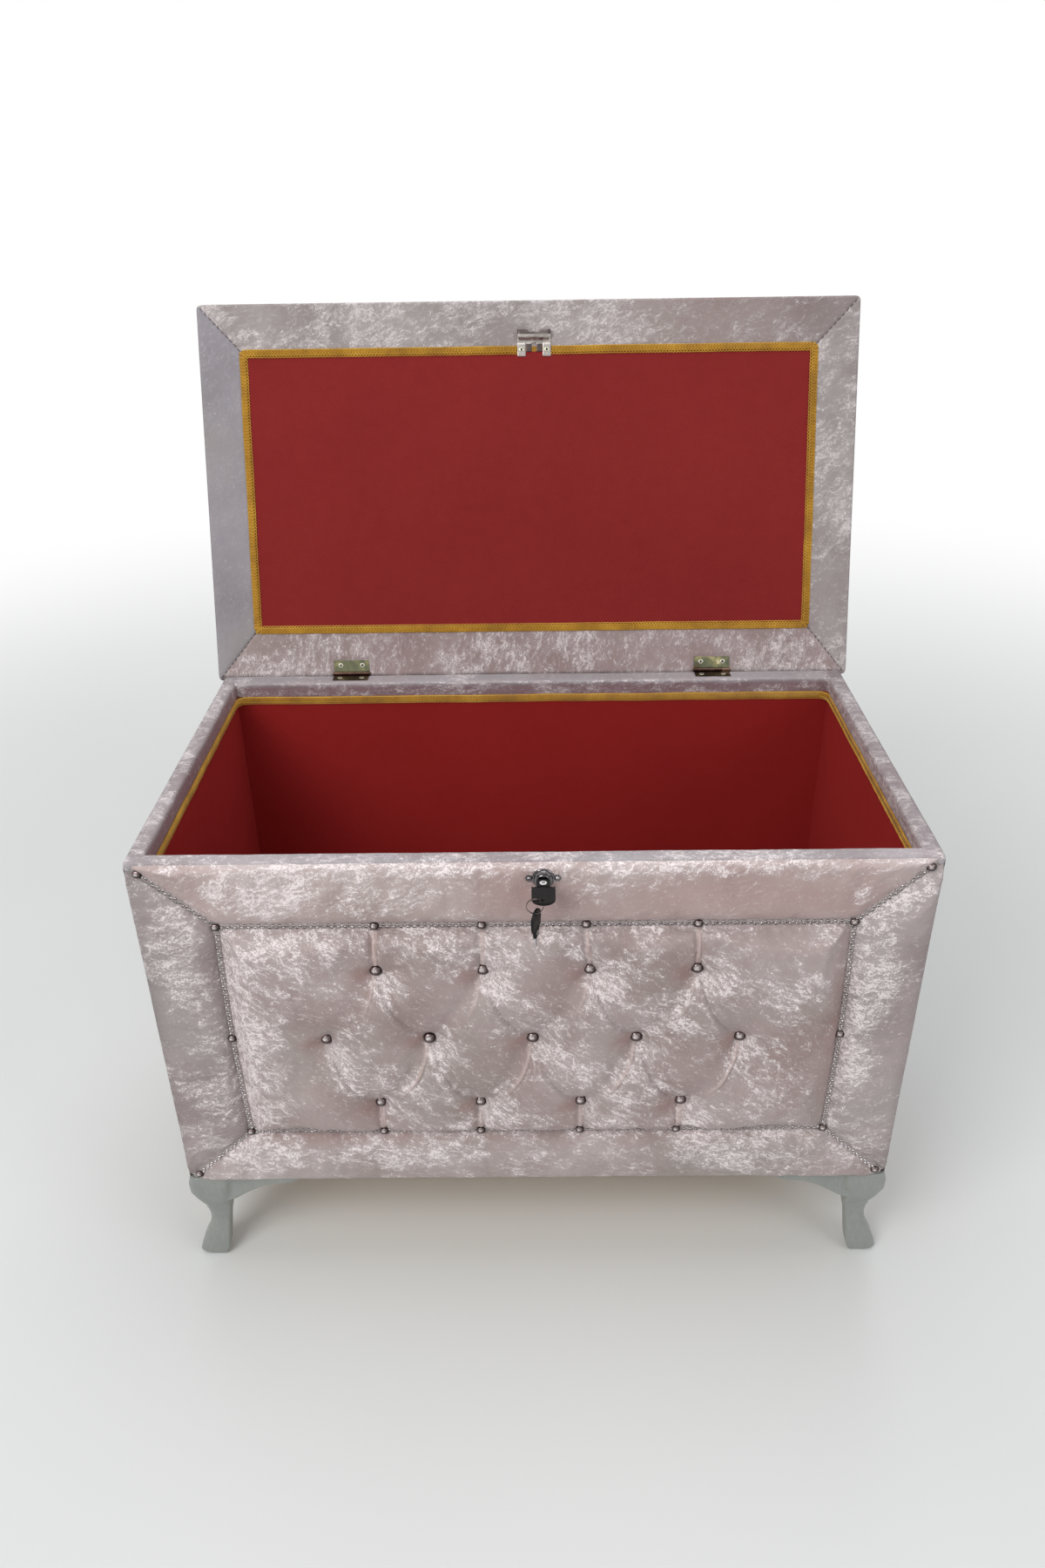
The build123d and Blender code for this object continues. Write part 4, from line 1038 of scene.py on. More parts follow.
def border_pad(side):
    """One of the four stuffed borders, mitred at its ends and rolled over the chest's outer edge."""
    level = side in ("top", "bottom")
    toward = 1.0 if side in ("top", "right") else -1.0
    top, low = WRAP_Z0 + 1.0, BODY_Z0
    seam = {"top": PANEL_Z1, "bottom": PANEL_Z0}.get(side, PANEL_X)
    depth = abs({"top": top, "bottom": low}.get(side, HALF_W) - seam) - SEAM_MARGIN
    run = spaced(2.0, 2.0 / (250 if level else 140), 0.3) - 1.0
    s, t = np.meshgrid(run, spaced(depth, CLOTH_STEP, 0.5), indexing="ij")
    if level:
        z = seam + toward * (SEAM_MARGIN + t)
        half = PANEL_X + (HALF_W - PANEL_X) * (SEAM_MARGIN + t) / (SEAM_MARGIN + depth) - 2.2
        x = s * half
        from_mitre = (half - np.abs(x)) * 0.66
    else:
        x = toward * (PANEL_X + SEAM_MARGIN + t)
        share = (SEAM_MARGIN + t) / (SEAM_MARGIN + depth)
        z_high = PANEL_Z1 + (top - PANEL_Z1) * share - 2.2
        z_low = PANEL_Z0 + (low - PANEL_Z0) * share + 2.2
        z = z_low + (z_high - z_low) * (s + 1) / 2
        from_mitre = np.minimum(z_high - z, z - z_low) * 0.74
    to_outer = depth - t
    height = BORDER_RISE * rise(t) * rise(from_mitre, 7.5)
    roll = 13.0
    drop = roll * (1.0 - np.sqrt(1.0 - (1.0 - np.clip(to_outer / roll, 0, 1)) ** 2))
    height += (0.45 * lumps(x, 0 * x, z, 60.0, 1.7) + 0.3 * lumps(x, 0 * x, z, 18.0, 8.3)) * rise(t) * rise(from_mitre)
    much, ease, lip = (1.0, 0.50, 2.2) if side == "top" else (1.05, 0.65, 9.0)
    y = SEAM_Y - height + drop * much * (0.35 + ease * rise(from_mitre, 10.0))
    y = np.where(to_outer < 1e-6, lip, y)
    piece = cloth_grid("border_" + side, on_chest(bowed(np.stack([x, y, z], axis=-1))), (0, -1, 0))
    held = (t < 1e-6) | (to_outer < 3.0) | (np.abs(s) > 1 - 1e-6)
    if side == "top":
        held |= (np.hypot(x - LOCK_X, z - LOCK_Z) < 13.0)
    stuff(piece, held.reshape(-1), 0.9, 12, 0.003, -0.02, 0.3)
    if side == "top":
        press_lock_seat(piece)
    finer(piece)
    lay_pile_and_light(piece, *BORDER_CRUSH_AND_LIGHT[side])
    if not level:
        # painted shade: a darker band along the pad's outer edge, heavier on the left
        base, edge = (0.06, 0.34) if side == "left" else (0.0, 0.2)
        out = read_points(piece.data)[:, 0] * 1000.0 * toward
        store(piece.data, "shade", base + edge * spot_line(out, HALF_W, 9.0))
    place_piece(piece, "chest", ["border_pad_" + side], finish=BORDER_VELVET[side])


def press_lock_seat(piece):
    """Flatten the pad under the lock's rosette."""
    mm = off_chest(read_points(piece.data))
    dx, dz = mm[:, 0] - LOCK_X, mm[:, 2] - LOCK_Z
    inside = np.clip((17.0 - np.minimum(np.hypot(dx, dz), np.hypot(dx / 1.55, dz / 0.8))) / 4.0, 0.0, 1.0)
    mm[:, 1] = mm[:, 1] * (1 - inside) + np.maximum(mm[:, 1], -8.0) * inside
    write_points(piece.data, on_chest(mm))


BORDER_VELVET = {"top": TOP_VELVET, "bottom": LOW_VELVET, "left": SIDE_VELVET, "right": SIDE_VELVET}
# per border: how its pile is crushed, with painted light on the faces turned to the light, and where painted shade lies
BORDER_CRUSH_AND_LIGHT = {
    "top": (lambda p: spots(p, (-310, 585, 90, 40, 0.45), (-140, 605, 150, 22, 0.45), (40, 618, 420, 8, 0.5),
                            (40, 590, 14, 20, 0.6), (-20, 585, 30, 30, -0.7), (230, 580, 190, 28, -0.75),
                            (-405, 585, 30, 30, -0.2)) - 0.05,
            lambda p: np.clip(spots(p, (240, 580, 230, 34, 0.7), (-15, 590, 30, 30, 0.8),
                                    (-380, 575, 30, 14, 0.3)), 0, 1)),
    "bottom": (lambda p: spots(p, (-60, 200, 300, 14, 0.55), (280, 195, 120, 20, 0.3), (-260, 224, 170, 8, -0.5),
                               (0, 163, 420, 9, -0.35)),
               lambda p: np.clip(spots(p, (-250, 226, 200, 7, 0.6), (250, 226, 200, 5, 0.4)), 0, 1)),
    "left": (lambda p: 0.16 - spot(p, -430, 400, 14, 400, 0.5), None),
    "right": (lambda p: spots(p, (378, 400, 24, 260, 0.75), (425, 400, 22, 260, -0.45), (400, 590, 30, 30, 0.5)),
              None)}


def bead_trim():
    """Double row of stones on a silvery band along every seam of the front."""
    y = SEAM_Y - 1.2
    pair = ((-0.0019, 0.0012), (0.0019, -0.0012))
    corners = [(-PANEL_X, PANEL_Z0), (PANEL_X, PANEL_Z0), (PANEL_X, PANEL_Z1), (-PANEL_X, PANEL_Z1)]
    sides = [(a, b, 4.0) for a, b in zip(corners, corners[1:] + corners[:1])]
    mitres = [(corners[k], nail, 6.0) for k, nail in zip((3, 2, 0, 1), CORNER_NAILS)]

    def cups(work):
        for centre in pair:
            skin(work, [circle(work, r, h, 10, centre)
                        for r, h in ((0.0018, 0.0), (0.0017, 0.0012), (0.0013, 0.0016), (0.0010, 0.0011))])

    def stones(work):
        for centre in pair:
            dome(work, 0.0011, 0.0008, 8, 2, centre, 0.0010)
    paths, bands = [], []
    for a, b, start in sides + mitres:
        a, b = np.array(a), np.array(b)
        length = np.linalg.norm(b - a)
        way = (b - a) / length
        p, q = a + way * start, b - way * 4.0
        count = max(2, int(length / 12))
        line = [p + (q - p) * i / (count - 1) for i in range(count)]
        paths.append((on_chest(bowed([(v[0], y - 0.5, v[1]) for v in line])), [(0, -1, 0)] * count))
        if start == 6.0:
            line = [a] + line[1:-1] + [b + way * 9.0]
        bands.append(on_chest(bowed(ribbon(
            [(v[0], y, v[1]) for v in line], (-way[1], 0, way[0]), (0, 1, 0),
            ((-7.0, 0.95), (-3.3, 0.8), (-2.9, 0.1), (-1.8, -0.6), (0.0, -0.5), (1.8, -0.6), (2.9, 0.1), (3.3, 0.8),
             (7.0, 0.95))))))
    for name, build, finish in (("seam_cups", cups, BRIGHT_CUP), ("seam_stones", stones, STONE)):
        item = small_item(name + "_item", build)
        place_piece(row_along(name, paths, item, 0.0076, finish), "chest")
        bpy.data.objects.remove(item)
    band = join_grids("seam_band", bands, (0, -1, 0))
    place_piece(band, "chest", ["bead_trim"], finish=BAND)


def join_grids(name, grids, facing):
    """Several cloth grids as one mesh."""
    parts = [cloth_grid(name + "_part", g, facing) for g in grids]

    def gather(work):
        for part in parts:
            work.from_mesh(part.data)
    mesh = reworked(bpy.data.meshes.new(name), gather)
    for part in parts:
        old = part.data
        bpy.data.objects.remove(part)
        bpy.data.meshes.remove(old)
    shade(mesh)
    return add_piece(name, mesh)


def nail_heads():
    """Domed heads with a small rolled edge, for the trim nails and the tuft buttons."""
    def head(work, radius, tall):
        edge = dome(work, radius, radius * tall, 28, 9, base=0.0003)
        low = [work.verts.new((v.co.x * 1.03, v.co.y * 1.03, 0.0001)) for v in edge]
        under = [work.verts.new((v.co.x * 0.94, v.co.y * 0.94, -0.0004)) for v in edge]
        skin(work, [under, low, edge])
        # painted highlight: 1 at a spot up and to the left of the top, falling to 0 at the foot
        painted_highlight = work.verts.layers.float.new("crown")
        for v in work.verts:
            off = math.hypot(v.co.x + 0.2 * radius, v.co.y - 0.24 * radius) / (1.2 * radius)
            v[painted_highlight] = max(0.0, 1.0 - off ** 1.4)
    for name, places, seat, replaced, radius, tall in (
            ("trim_nail_heads", trim_nails(), SEAM_Y - 2.6, "trim_nails", 0.0048, 0.64),
            ("tuft_button_heads", tufts(), SEAM_Y - 0.6, "tuft_buttons", 0.0071, 0.74)):
        pattern = small_item("nail_head", lambda work: head(work, radius, tall))
        paths = [(on_chest(bowed([(x, seat, z)]) + [(-0.5, 0, 0), (0.5, 0, 0)]), [(0, -1, 0)] * 2) for x, z in places]
        place_piece(row_along(name, paths, pattern, 0.0030, SMOKED), "chest", [replaced])
        bpy.data.objects.remove(pattern)


# ---------------------------------------------------------------- box

def rounded_loop(x0, x1, y0, y1, radius, nx, ny, arc=7):
    """Points round a rectangle with rounded corners, anticlockwise from the front left."""
    r = radius
    centres = ((x1 - r, y0 + r, -90), (x1 - r, y1 - r, 0), (x0 + r, y1 - r, 90), (x0 + r, y0 + r, 180))
    corners = [[(cx + r * math.cos(a), cy + r * math.sin(a))
                for a in (math.radians(start + 90 * i / (arc - 1)) for i in range(arc))] for cx, cy, start in centres]
    loop = []
    for k, count in enumerate((nx, ny, nx, ny)):
        (ax, ay), (bx, by) = corners[k - 1][-1], corners[k][0]
        loop += [(ax + (bx - ax) * i / count, ay + (by - ay) * i / count) for i in range(1, count)]
        loop += corners[k]
    return np.array(loop)


def rim_wrap():
    """Velvet rolled over the top of the walls and down the inside as a band."""
    outer = rounded_loop(-HALF_W, HALF_W, 0.0, BODY_D, 6.0, 170, 96)
    inner = rounded_loop(-IN_X, IN_X, IN_Y0, IN_Y1, 3.0, 170, 96)
    profile = ((0.0, -9.0), (0.0, -6.0), (0.0, -4.5), (0.25, -3.0), (0.9, -1.7), (2.0, -0.7), (3.6, -0.15), (5.5, 0.05),
               (8.0, 0.15), (10.5, 0.15), (13.0, 0.1), (15.0, 0.0), (16.8, -0.3), (18.4, -0.95), (19.5, -2.1),
               (20.0, -3.6), (20.15, -6.0), (20.15, -9.0), (20.1, -12.0), (20.1, -15.0), (20.1, -18.0), (20.0, -22.0))
    p = np.stack([np.column_stack([outer + (inner - outer) * (a / 20.0), np.full(len(outer), RIM_Z + dz)])
                  for a, dz in profile], axis=1)
    x, y, z = p[..., 0], p[..., 1], p[..., 2]
    uneven = 0.45 * lumps(x, y, 0 * z, 44.0, 2.2) + 0.25 * lumps(x, y, z, 13.0, 6.4)
    z += np.clip((z - (RIM_Z - 9)) / 6, 0, 1) * uneven
    push = 0.5 * lumps(x, y, z, 22.0, 9.1) * (np.arange(len(profile)) > 14)
    x -= push * np.sign(x) * (np.abs(x) > 410)
    y -= push * np.sign(y - IN_MIDDLE) * (np.abs(x) <= 410)
    for sx in (-1, 1):
        over = np.clip((HINGE_ROOM - np.abs(x - sx * HINGE_X)) / 2.5, 0, 1)
        over *= np.clip((y - (PIN_Y - 21.0)) / 2.0, 0, 1)
        z[:] = np.where(over > 0, np.minimum(z, z * (1 - over) + (RIM_Z - 1.9) * over), z)
    piece = cloth_grid("rim_velvet_wrap", on_chest(p), rim_facing, around=True)
    lay_pile_and_light(piece, rim_brush, rim_painted_shade)
    store(piece.data, "shade", rim_shade(off_chest(read_points(piece.data))))
    place_piece(piece, "chest", ["rim_wrap"], finish=RIM_VELVET)


def rim_facing(centres):
    """Up on top of the rim; the rest follows."""
    return np.outer(off_chest(centres)[:, 2] > RIM_Z - 1.5, (0.0, 0.0, 1.0))


def rim_brush(p):
    """Smooth along the back of the rim, crushed elsewhere."""
    back = (p[:, 1] > 462) * (p[:, 2] > RIM_Z - 2)
    return -0.35 * (p[:, 2] > RIM_Z - 2) - 0.9 * back + 0.1


def rim_painted_shade(p):
    """Painted shade on the band inside and on both sides of the rim, and a painted highlight along the lip at the back.
    """
    band = window_of(RIM_Z - p[:, 2], 3.0, 8.0) * (np.abs(p[:, 0]) < IN_X + 4) * (p[:, 1] > IN_Y0 - 4)
    right = (p[:, 0] > IN_X - 3) * (p[:, 2] > RIM_Z - 3)
    left = (p[:, 0] < 3 - IN_X) * (p[:, 2] > RIM_Z - 3)
    lip = spot_line(p[:, 1], IN_Y1 + 1.0, 1.0) * (np.abs(p[:, 0]) < IN_X) * (p[:, 2] > RIM_Z - 2)
    return 0.95 * band + 0.3 * right + 0.12 * left - 0.5 * lip


def rim_shade(p):
    """Painted shade: darker along the sides and the back, and at the outer corners."""
    side = window_of(np.abs(p[:, 0]), IN_X - 6.0, IN_X + 4.0) * (p[:, 1] > 14)
    back = (p[:, 1] > IN_Y1 - 4) * 1.0
    edge = spot_line(np.abs(p[:, 0]), HALF_W, 3.0)
    return 0.13 * side + 0.2 * side * (p[:, 0] > 0) + 0.15 * back + 0.3 * edge * side


def spot_line(v, at, wide):
    return np.exp(-((v - at) / wide) ** 2)


def outer_cover():
    """Velvet drawn round the two sides and the back, tucked under the floor."""
    r = 5.0
    turn = np.radians(90 * np.arange(1, 8) / 8)
    up = spaced(BODY_D - r - 3.0, 6.0) + 3.0
    back = HALF_W - r - spaced(2 * (HALF_W - r), 6.0)
    right = np.column_stack([
        np.concatenate([np.full(len(up), HALF_W), HALF_W - r + r * np.cos(turn), back]),
        np.concatenate([up, BODY_D - r + r * np.sin(turn), np.full(len(back), BODY_D)])])
    path = np.concatenate([right, (right[:len(up) + len(turn)] * (-1, 1))[::-1]])
    levels = np.concatenate([[BODY_Z0 + 0.4, BODY_Z0 - 0.2, BODY_Z0 + 0.4],
                             spaced(WRAP_Z0 - 4.0 - BODY_Z0 - 2.0, 6.0) + BODY_Z0 + 2.0])
    inward = np.concatenate([[9.0, 3.0, 0.6], np.zeros(len(levels) - 3)])
    away = np.column_stack([np.where(np.abs(path[:, 0]) > HALF_W - r, np.sign(path[:, 0]), 0),
                            np.where(path[:, 1] > BODY_D - r, 1, 0)])[:, None]
    p = np.zeros((len(path), len(levels), 3))
    p[..., :2] = path[:, None] - away * inward[:, None]
    p[..., 2] = levels
    x, y, z = (p[..., k].copy() for k in range(3))
    front_edge = np.clip((path[:, 1] - 3.0) / 50.0, 0, 1)[:, None]
    soft = (0.5 * lumps(x, y, z, 90.0, 4.0) + 0.25 * lumps(x, y, z, 26.0, 7.0)) * front_edge - 0.6 * (1 - front_edge)
    belly = 1.6 * np.sin(np.clip((z - BODY_Z0) / (WRAP_Z0 - BODY_Z0), 0, 1) * math.pi) ** 0.6 * front_edge
    p[..., :2] += away * (soft * 0.6 + belly)[..., None]
    piece = cloth_grid("side_and_back_velvet", on_chest(p), outer_facing)
    lay_pile_and_light(piece)
    place_piece(piece, "chest", ["left_cover", "right_cover", "back_cover"], finish=PLAIN_VELVET)


def outer_facing(centres):
    """Level, away from the middle of the chest."""
    return (off_chest(centres) - (0.0, BODY_D / 2, 0.0)) * (1, 1, 0)


def lining_panel(name, corners, facing, node, seed):
    """Felt panel between four corners, slightly slack; returned with its size in metres."""
    sizes = [float(np.linalg.norm(np.subtract(corners[k], corners[0]))) for k in (1, 3)]
    u, v = np.meshgrid(*(np.linspace(0, 1, int(size / 14.0) + 2) for size in sizes), indexing="ij")
    p = patch(corners, u, v)
    x, y, z = p[..., 0], p[..., 1], p[..., 2]
    edge = np.minimum.reduce([u, 1 - u, v, 1 - v])
    slack = np.clip(edge * 9, 0, 1) * (0.9 * lumps(x, y, z, 120.0, seed) + 0.35 * lumps(x, y, z, 35.0, seed + 3)) + 0.35
    piece = cloth_grid(name, on_chest(p + slack[..., None] * np.array(facing, float)), facing)
    place_piece(piece, "chest", [node], finish=BOX_FELT)
    return piece, sorted(size / 1000.0 for size in sizes)


def box_lining():
    """Felt on the floor and up the four walls to the band."""
    x, y0, y1, z0, z1 = IN_X, IN_Y0, IN_Y1, FLOOR_Z, BAND_Z0 + 1.0
    panels = (
        ("floor", ((-x, y0, z0), (x, y0, z0), (x, y1, z0), (-x, y1, z0)), (0, 0, 1), 1.0, "laid"),
        ("back", ((-x, y1, z0), (x, y1, z0), (x, y1, z1), (-x, y1, z1)), (0, -1, 0), 2.0, "stretched"),
        ("front", ((-x, y0, z0), (x, y0, z0), (x, y0, z1), (-x, y0, z1)), (0, 1, 0), 3.0, "stretched"),
        ("left", ((-x, y0, z0), (-x, y1, z0), (-x, y1, z1), (-x, y0, z1)), (1, 0, 0), 4.0, "stretched"),
        ("right", ((x, y0, z0), (x, y1, z0), (x, y1, z1), (x, y0, z1)), (-1, 0, 0), 5.0, "stretched"))
    for side, corners, facing, seed, held in panels:
        piece, size = lining_panel("felt_" + side, corners, facing, side + "_lining", seed)
        side + "_board"


def gimp_item():
    """One repeat of the braid: slanted plies packed in a chevron, a plain edge, and a picot on the scalloped side."""
    def build(work):
        h, reach = BRAID_W / 2000.0, GIMP_STEP * 0.52
        for low, high in ((-0.84, -0.28), (-0.30, 0.24), (0.60, 0.22)):
            a, b = (-GIMP_STEP * 0.55, low * h, 0.0003), (GIMP_STEP * 0.35, high * h, 0.0004)
            yarn(work, [a, ((a[0] + b[0]) / 2, (a[1] + b[1]) / 2, 0.0012), b], 0.00115, 4)
        yarn(work, [(-reach, -0.86 * h, 0.0005), (reach, -0.86 * h, 0.0005)], 0.00085, 4)
        picot = [(reach * math.cos(a), h * (0.52 + 0.48 * math.sin(a)), 0.0006) for a in np.linspace(0.0, math.pi, 5)]
        yarn(work, picot, 0.00072, 4)
    return small_item("gimp_repeat", build)


def braid_ground(name, grids, body, facing):
    """Thin woven ground that closes the gaps between the plies."""
    piece = join_grids(name, grids, facing)
    place_piece(piece, body, finish=GIMP_GROUND)


def rim_braid(item):
    """Braid round the inside of the box, its scallops down over the felt."""
    loop = rounded_loop(-IN_X + 0.4, IN_X - 0.4, IN_Y0 + 0.4, IN_Y1 - 0.4, 14.0, 60, 34, 9)
    keep = [not (p[1] < IN_Y0 + 3 and -14 < p[0] < 38) for p in loop]
    start = next(i for i in range(len(keep)) if keep[i] and not keep[i - 1])
    points = np.array([loop[i] for i in (np.arange(len(keep)) + start) % len(keep) if keep[i]])
    outs = leftward(points)
    outs *= np.where((outs[:, :2] * (np.array([0, IN_MIDDLE]) - points)).sum(axis=1) < 0, -1, 1)[:, None]
    sag = [BAND_Z0 - BRAID_W / 2 + 1.0 + 0.9 * noise.noise((p[0] / 60.0, p[1] / 60.0, 3.0)) for p in points]
    places = np.column_stack([points + outs[:, :2] * 0.3, sag])
    row = row_along("rim_gimp", [(on_chest(places), outs)], item, GIMP_STEP, GIMP, 0.05)
    place_piece(row, "chest", ["rim_braid"])
    ground = ribbon(places, (0, 0, 1), outs, ((-3.1, -0.1), (-2.9, 0.5), (0.0, 0.8), (5.0, 0.5), (6.0, -0.1)))
    braid_ground("rim_gimp_ground", [on_chest(ground)], "chest", rim_in)


def rim_in(centres):
    """Inwards from the four walls of the box."""
    p = off_chest(centres)
    beside_wall = np.abs(p[:, 0]) > IN_X - 12
    return np.column_stack([-p[:, 0] / IN_X * beside_wall, -(p[:, 1] - IN_MIDDLE) / 221.0 * ~beside_wall, 0 * p[:, 0]])


# ---------------------------------------------------------------- lid

LID_OUT = (on_lid([(0, 0, -1)]) - on_lid([(0, 0, 0)]))[0] * 1000.0


def lid_cover():
    """Stuffed velvet top and sides of the lid."""
    half = (LID_U1 - LID_U0) / 2

    def ring(offset, w):
        r = max(7.0 - offset * 0.4, 1.2) if offset < 14 else 1.2
        loop = rounded_loop(-LID_X + offset, LID_X - offset, LID_U0 + offset, LID_U1 - offset,
                            min(r + offset * 0.08, half - offset - 0.1), 100, 58, 6)
        return np.column_stack([loop, np.full(len(loop), w)])
    top = UNDER + LID_THICK
    profile = [(6.0, UNDER + 1.4), (4.0, UNDER + 1.1), (2.6, UNDER + 1.0), (1.1, UNDER + 1.4), (0.3, UNDER + 2.5),
               (0.0, UNDER + 4.0)]
    profile += [(0.0, UNDER + 4.0 + k * 5.0) for k in range(1, 6)]
    for k in range(1, 9):
        a = math.radians(90 * k / 8)
        profile.append((11.5 * (1 - math.cos(a)), top - 13.0 + 11.0 * math.sin(a)))
    profile += [(d, top - 2.0 + 3.4 * (1 - math.exp(-(d - 11.5) / 55.0)))
                for d in (15, 20, 27, 36, 48, 62, 78, 96, 116, 138, 162, 186, 208, 226, 238, half - 0.6)]
    p = np.stack([ring(offset, w) for offset, w in profile], axis=1)
    x, u, w = p[..., 0], p[..., 1], p[..., 2]
    u[:, -1] = (LID_U0 + LID_U1) / 2
    uneven = 0.9 * lumps(x, u, 0 * x, 95.0, 3.7) + 0.35 * lumps(x, u, 0 * x, 30.0, 1.1)
    w += np.clip((w - (top - 8)) / 6, 0, 1) * uneven
    by_leaf = (np.abs(np.abs(x) - HINGE_X) < 26.6) & (u < 4.0) & (u > -5.5) & (w < UNDER + 2.6)
    w[by_leaf] = UNDER + 2.6
    piece = cloth_grid("lid_velvet_cover", on_lid(p), lid_facing_out, around=True)
    reworked(piece.data, lambda work: bmesh.ops.remove_doubles(
        work, verts=[v for v in work.verts if v.is_boundary], dist=2e-5))
    shade(piece.data)
    lay_pile_and_light(piece)
    place_piece(piece, "lid", ["lid_cover"], finish=PLAIN_VELVET)


def lid_facing_out(centres):
    """Away from the middle of the lid's thickness."""
    middle = on_lid([(0.0, 246.6, UNDER + 16.0)])[0]
    away = centres - middle
    up = np.array([0.0, math.sin(OPEN), math.cos(OPEN)])
    return up * (away @ up)[:, None]


def lid_facings():
    """Four mitred strips of velvet round the underside."""
    bx, b0, b1 = LID_X - 0.3, LID_U0 + 0.3, LID_U1 - 0.3
    ix, i0, i1 = LID_BRAID_X - 3.0, LID_BRAID_U0 + 3.0, LID_BRAID_U1 - 3.0
    sides = {
        "back": ((-bx, b0), (bx, b0), (ix, i0), (-ix, i0)),
        "front": ((-bx, b1), (bx, b1), (ix, i1), (-ix, i1)),
        "left": ((-bx, b0), (-bx, b1), (-ix, i1), (-ix, i0)),
        "right": ((bx, b0), (bx, b1), (ix, i1), (ix, i0)),
    }
    for name, corners in sides.items():
        a, b, c, d = (np.array(v) for v in corners)
        run, breadth = np.linalg.norm(b - a), np.linalg.norm((a + b) / 2 - (c + d) / 2)
        s, t = np.meshgrid(spaced(1.0, 1.0 / int(run / 4.0), 0.2), spaced(1.0, 1.0 / 26, 0.8), indexing="ij")
        p = patch(corners, s, t)
        x, u = p[..., 0], p[..., 1]
        mitre = np.minimum(s, 1 - s) * run * 0.7
        uneven = 0.35 * lumps(x, u, 0 * x, 50.0, 4.4) + 0.18 * lumps(x, u, 0 * x, 14.0, 2.4)
        w = UNDER + (1.3 * bump(mitre, 2.0) - 0.2) * 0.9 + uneven * np.clip(mitre / 8, 0, 1)
        w = w + 0.45 * bump((1 - t) * 50, 3.0)
        w = np.clip(w, UNDER - 0.7, None) + 2.0 * np.exp(-t * breadth / 0.9)
        x, u = round_corners(x, u)
        beside_hinge = np.abs(np.abs(x) - HINGE_X)
        by_strike = (x > STRIKE_X0 - 3) & (x < STRIKE_X1 + 3) & (u > 425)
        for where, least in (((beside_hinge < 26.4) & (u < 19.6), 1.7), ((beside_hinge < 26.2) & (u < 4.4), 2.7),
                             (by_strike, 0.05)):
            w = np.where(where, np.maximum(w, UNDER + least), w)
        piece = cloth_grid("lid_facing_velvet_" + name, on_lid(np.stack([x, u, w], axis=-1)), LID_OUT)
        velvet, brushed, shaded, tucked = LID_SIDES[name]
        lay_pile_and_light(piece, brushed, shaded)
        # painted shade in dark grey, as the strip's table entry lays it
        if tucked:
            store(piece.data, "shade", tucked(lid_coordinates(read_points(piece.data))[0], t.reshape(-1)))
        place_piece(piece, "lid", ["lid_facing_" + name], finish=velvet)


def round_corners(x, u):
    """Draw points past the lid's rounded corners in to their arcs."""
    half_u, mid_u, turn = (LID_U1 - LID_U0) / 2, (LID_U1 + LID_U0) / 2, 7.0
    cx, cu = np.abs(x) - (LID_X - turn), np.abs(u - mid_u) - (half_u - turn)
    out = np.where((cx > 0) & (cu > 0), np.maximum(np.hypot(cx, cu) / (turn - 0.4), 1.0), 1.0)
    return (np.where(out > 1, np.sign(x) * (LID_X - turn + cx / out), x),
            np.where(out > 1, mid_u + np.sign(u - mid_u) * (half_u - turn + cu / out), u))


def seam_shadow(x, t):
    """Broken line of painted shadow along the back strip's outer edge, where it tucks in behind the hinges over the
    rim.
    """
    broken = 0.8 + 0.5 * lumps(x, 0 * x, 0 * x, 26.0, 1.3)
    return np.exp(-(t * 52.0 / 5.6) ** 6) * np.clip(broken, 0, 1)


# per strip: velvet, one of the lit and shaded copies; how its pile is crushed; where painted shade lies; and its
# painted dark-grey shade from x and the share inwards
LID_SIDES = {
    "front": (LID_VELVET, lambda p: 0.1 + spots(p, (-150, 1070, 250, 200, 0.2), (330, 1070, 90, 200, -0.4)),
              lambda p: np.clip(spot(p, 260, 1070, 160, 200, 0.45), 0, 1),
              lambda x, t: 0.02 + 0.2 * window_of(x, 40.0, 280.0)),
    "back": (LID_BACK_VELVET, lambda p: 0.05, lambda p: np.full(len(p), 0.35), seam_shadow),
    "left": (LID_SHADE_VELVET, lambda p: -0.55 + 0.0012 * (760 - p[:, 2]), None, lambda x, t: np.full(len(x), 0.05)),
    "right": (LID_VELVET, lambda p: 0.5, None, None),
}


def mitre_stitches():
    """Ladder stitches that close the lid's mitres."""
    item = small_item("ladder_stitch", lambda work: yarn(work, [
        (-0.0024, 0, -0.0002), (-0.0012, 0.00005, 0.0003), (0.0012, -0.00005, 0.0003), (0.0024, 0, -0.0002)], 0.00042))
    paths = []
    for sx in (-1, 1):
        for outer_u, inner_u in ((LID_U0 + 7.0, LID_BRAID_U0), (LID_U1 - 7.0, LID_BRAID_U1)):
            line = [(sx * (LID_X - 7.0) * (1 - t) + sx * LID_BRAID_X * t, outer_u * (1 - t) + inner_u * t, UNDER + 0.15)
                    for t in np.linspace(0, 1, 12)]
            paths.append((on_lid(line), [tuple(LID_OUT)] * 12))
    place_piece(row_along("mitre_stitches", paths, item, 0.0072, THREAD, 0.1), "lid")
    bpy.data.objects.remove(item)


def lid_felt():
    """Felt panel on the underside of the lid."""
    x, u0, u1 = LID_BRAID_X - 5.0, LID_BRAID_U0 + 5.0, LID_BRAID_U1 - 5.0
    xs, us = np.meshgrid(np.linspace(-x, x, 70), np.linspace(u0, u1, 36), indexing="ij")
    w = UNDER - 0.15 + 0.35 * lumps(xs, us, 0 * xs, 110.0, 2.9) + 0.12 * lumps(xs, us, 0 * xs, 30.0, 6.1)
    piece = cloth_grid("lid_felt", on_lid(np.stack([xs, us, w], axis=-1)), LID_OUT)
    place_piece(piece, "lid", ["lid_lining"], FELT)


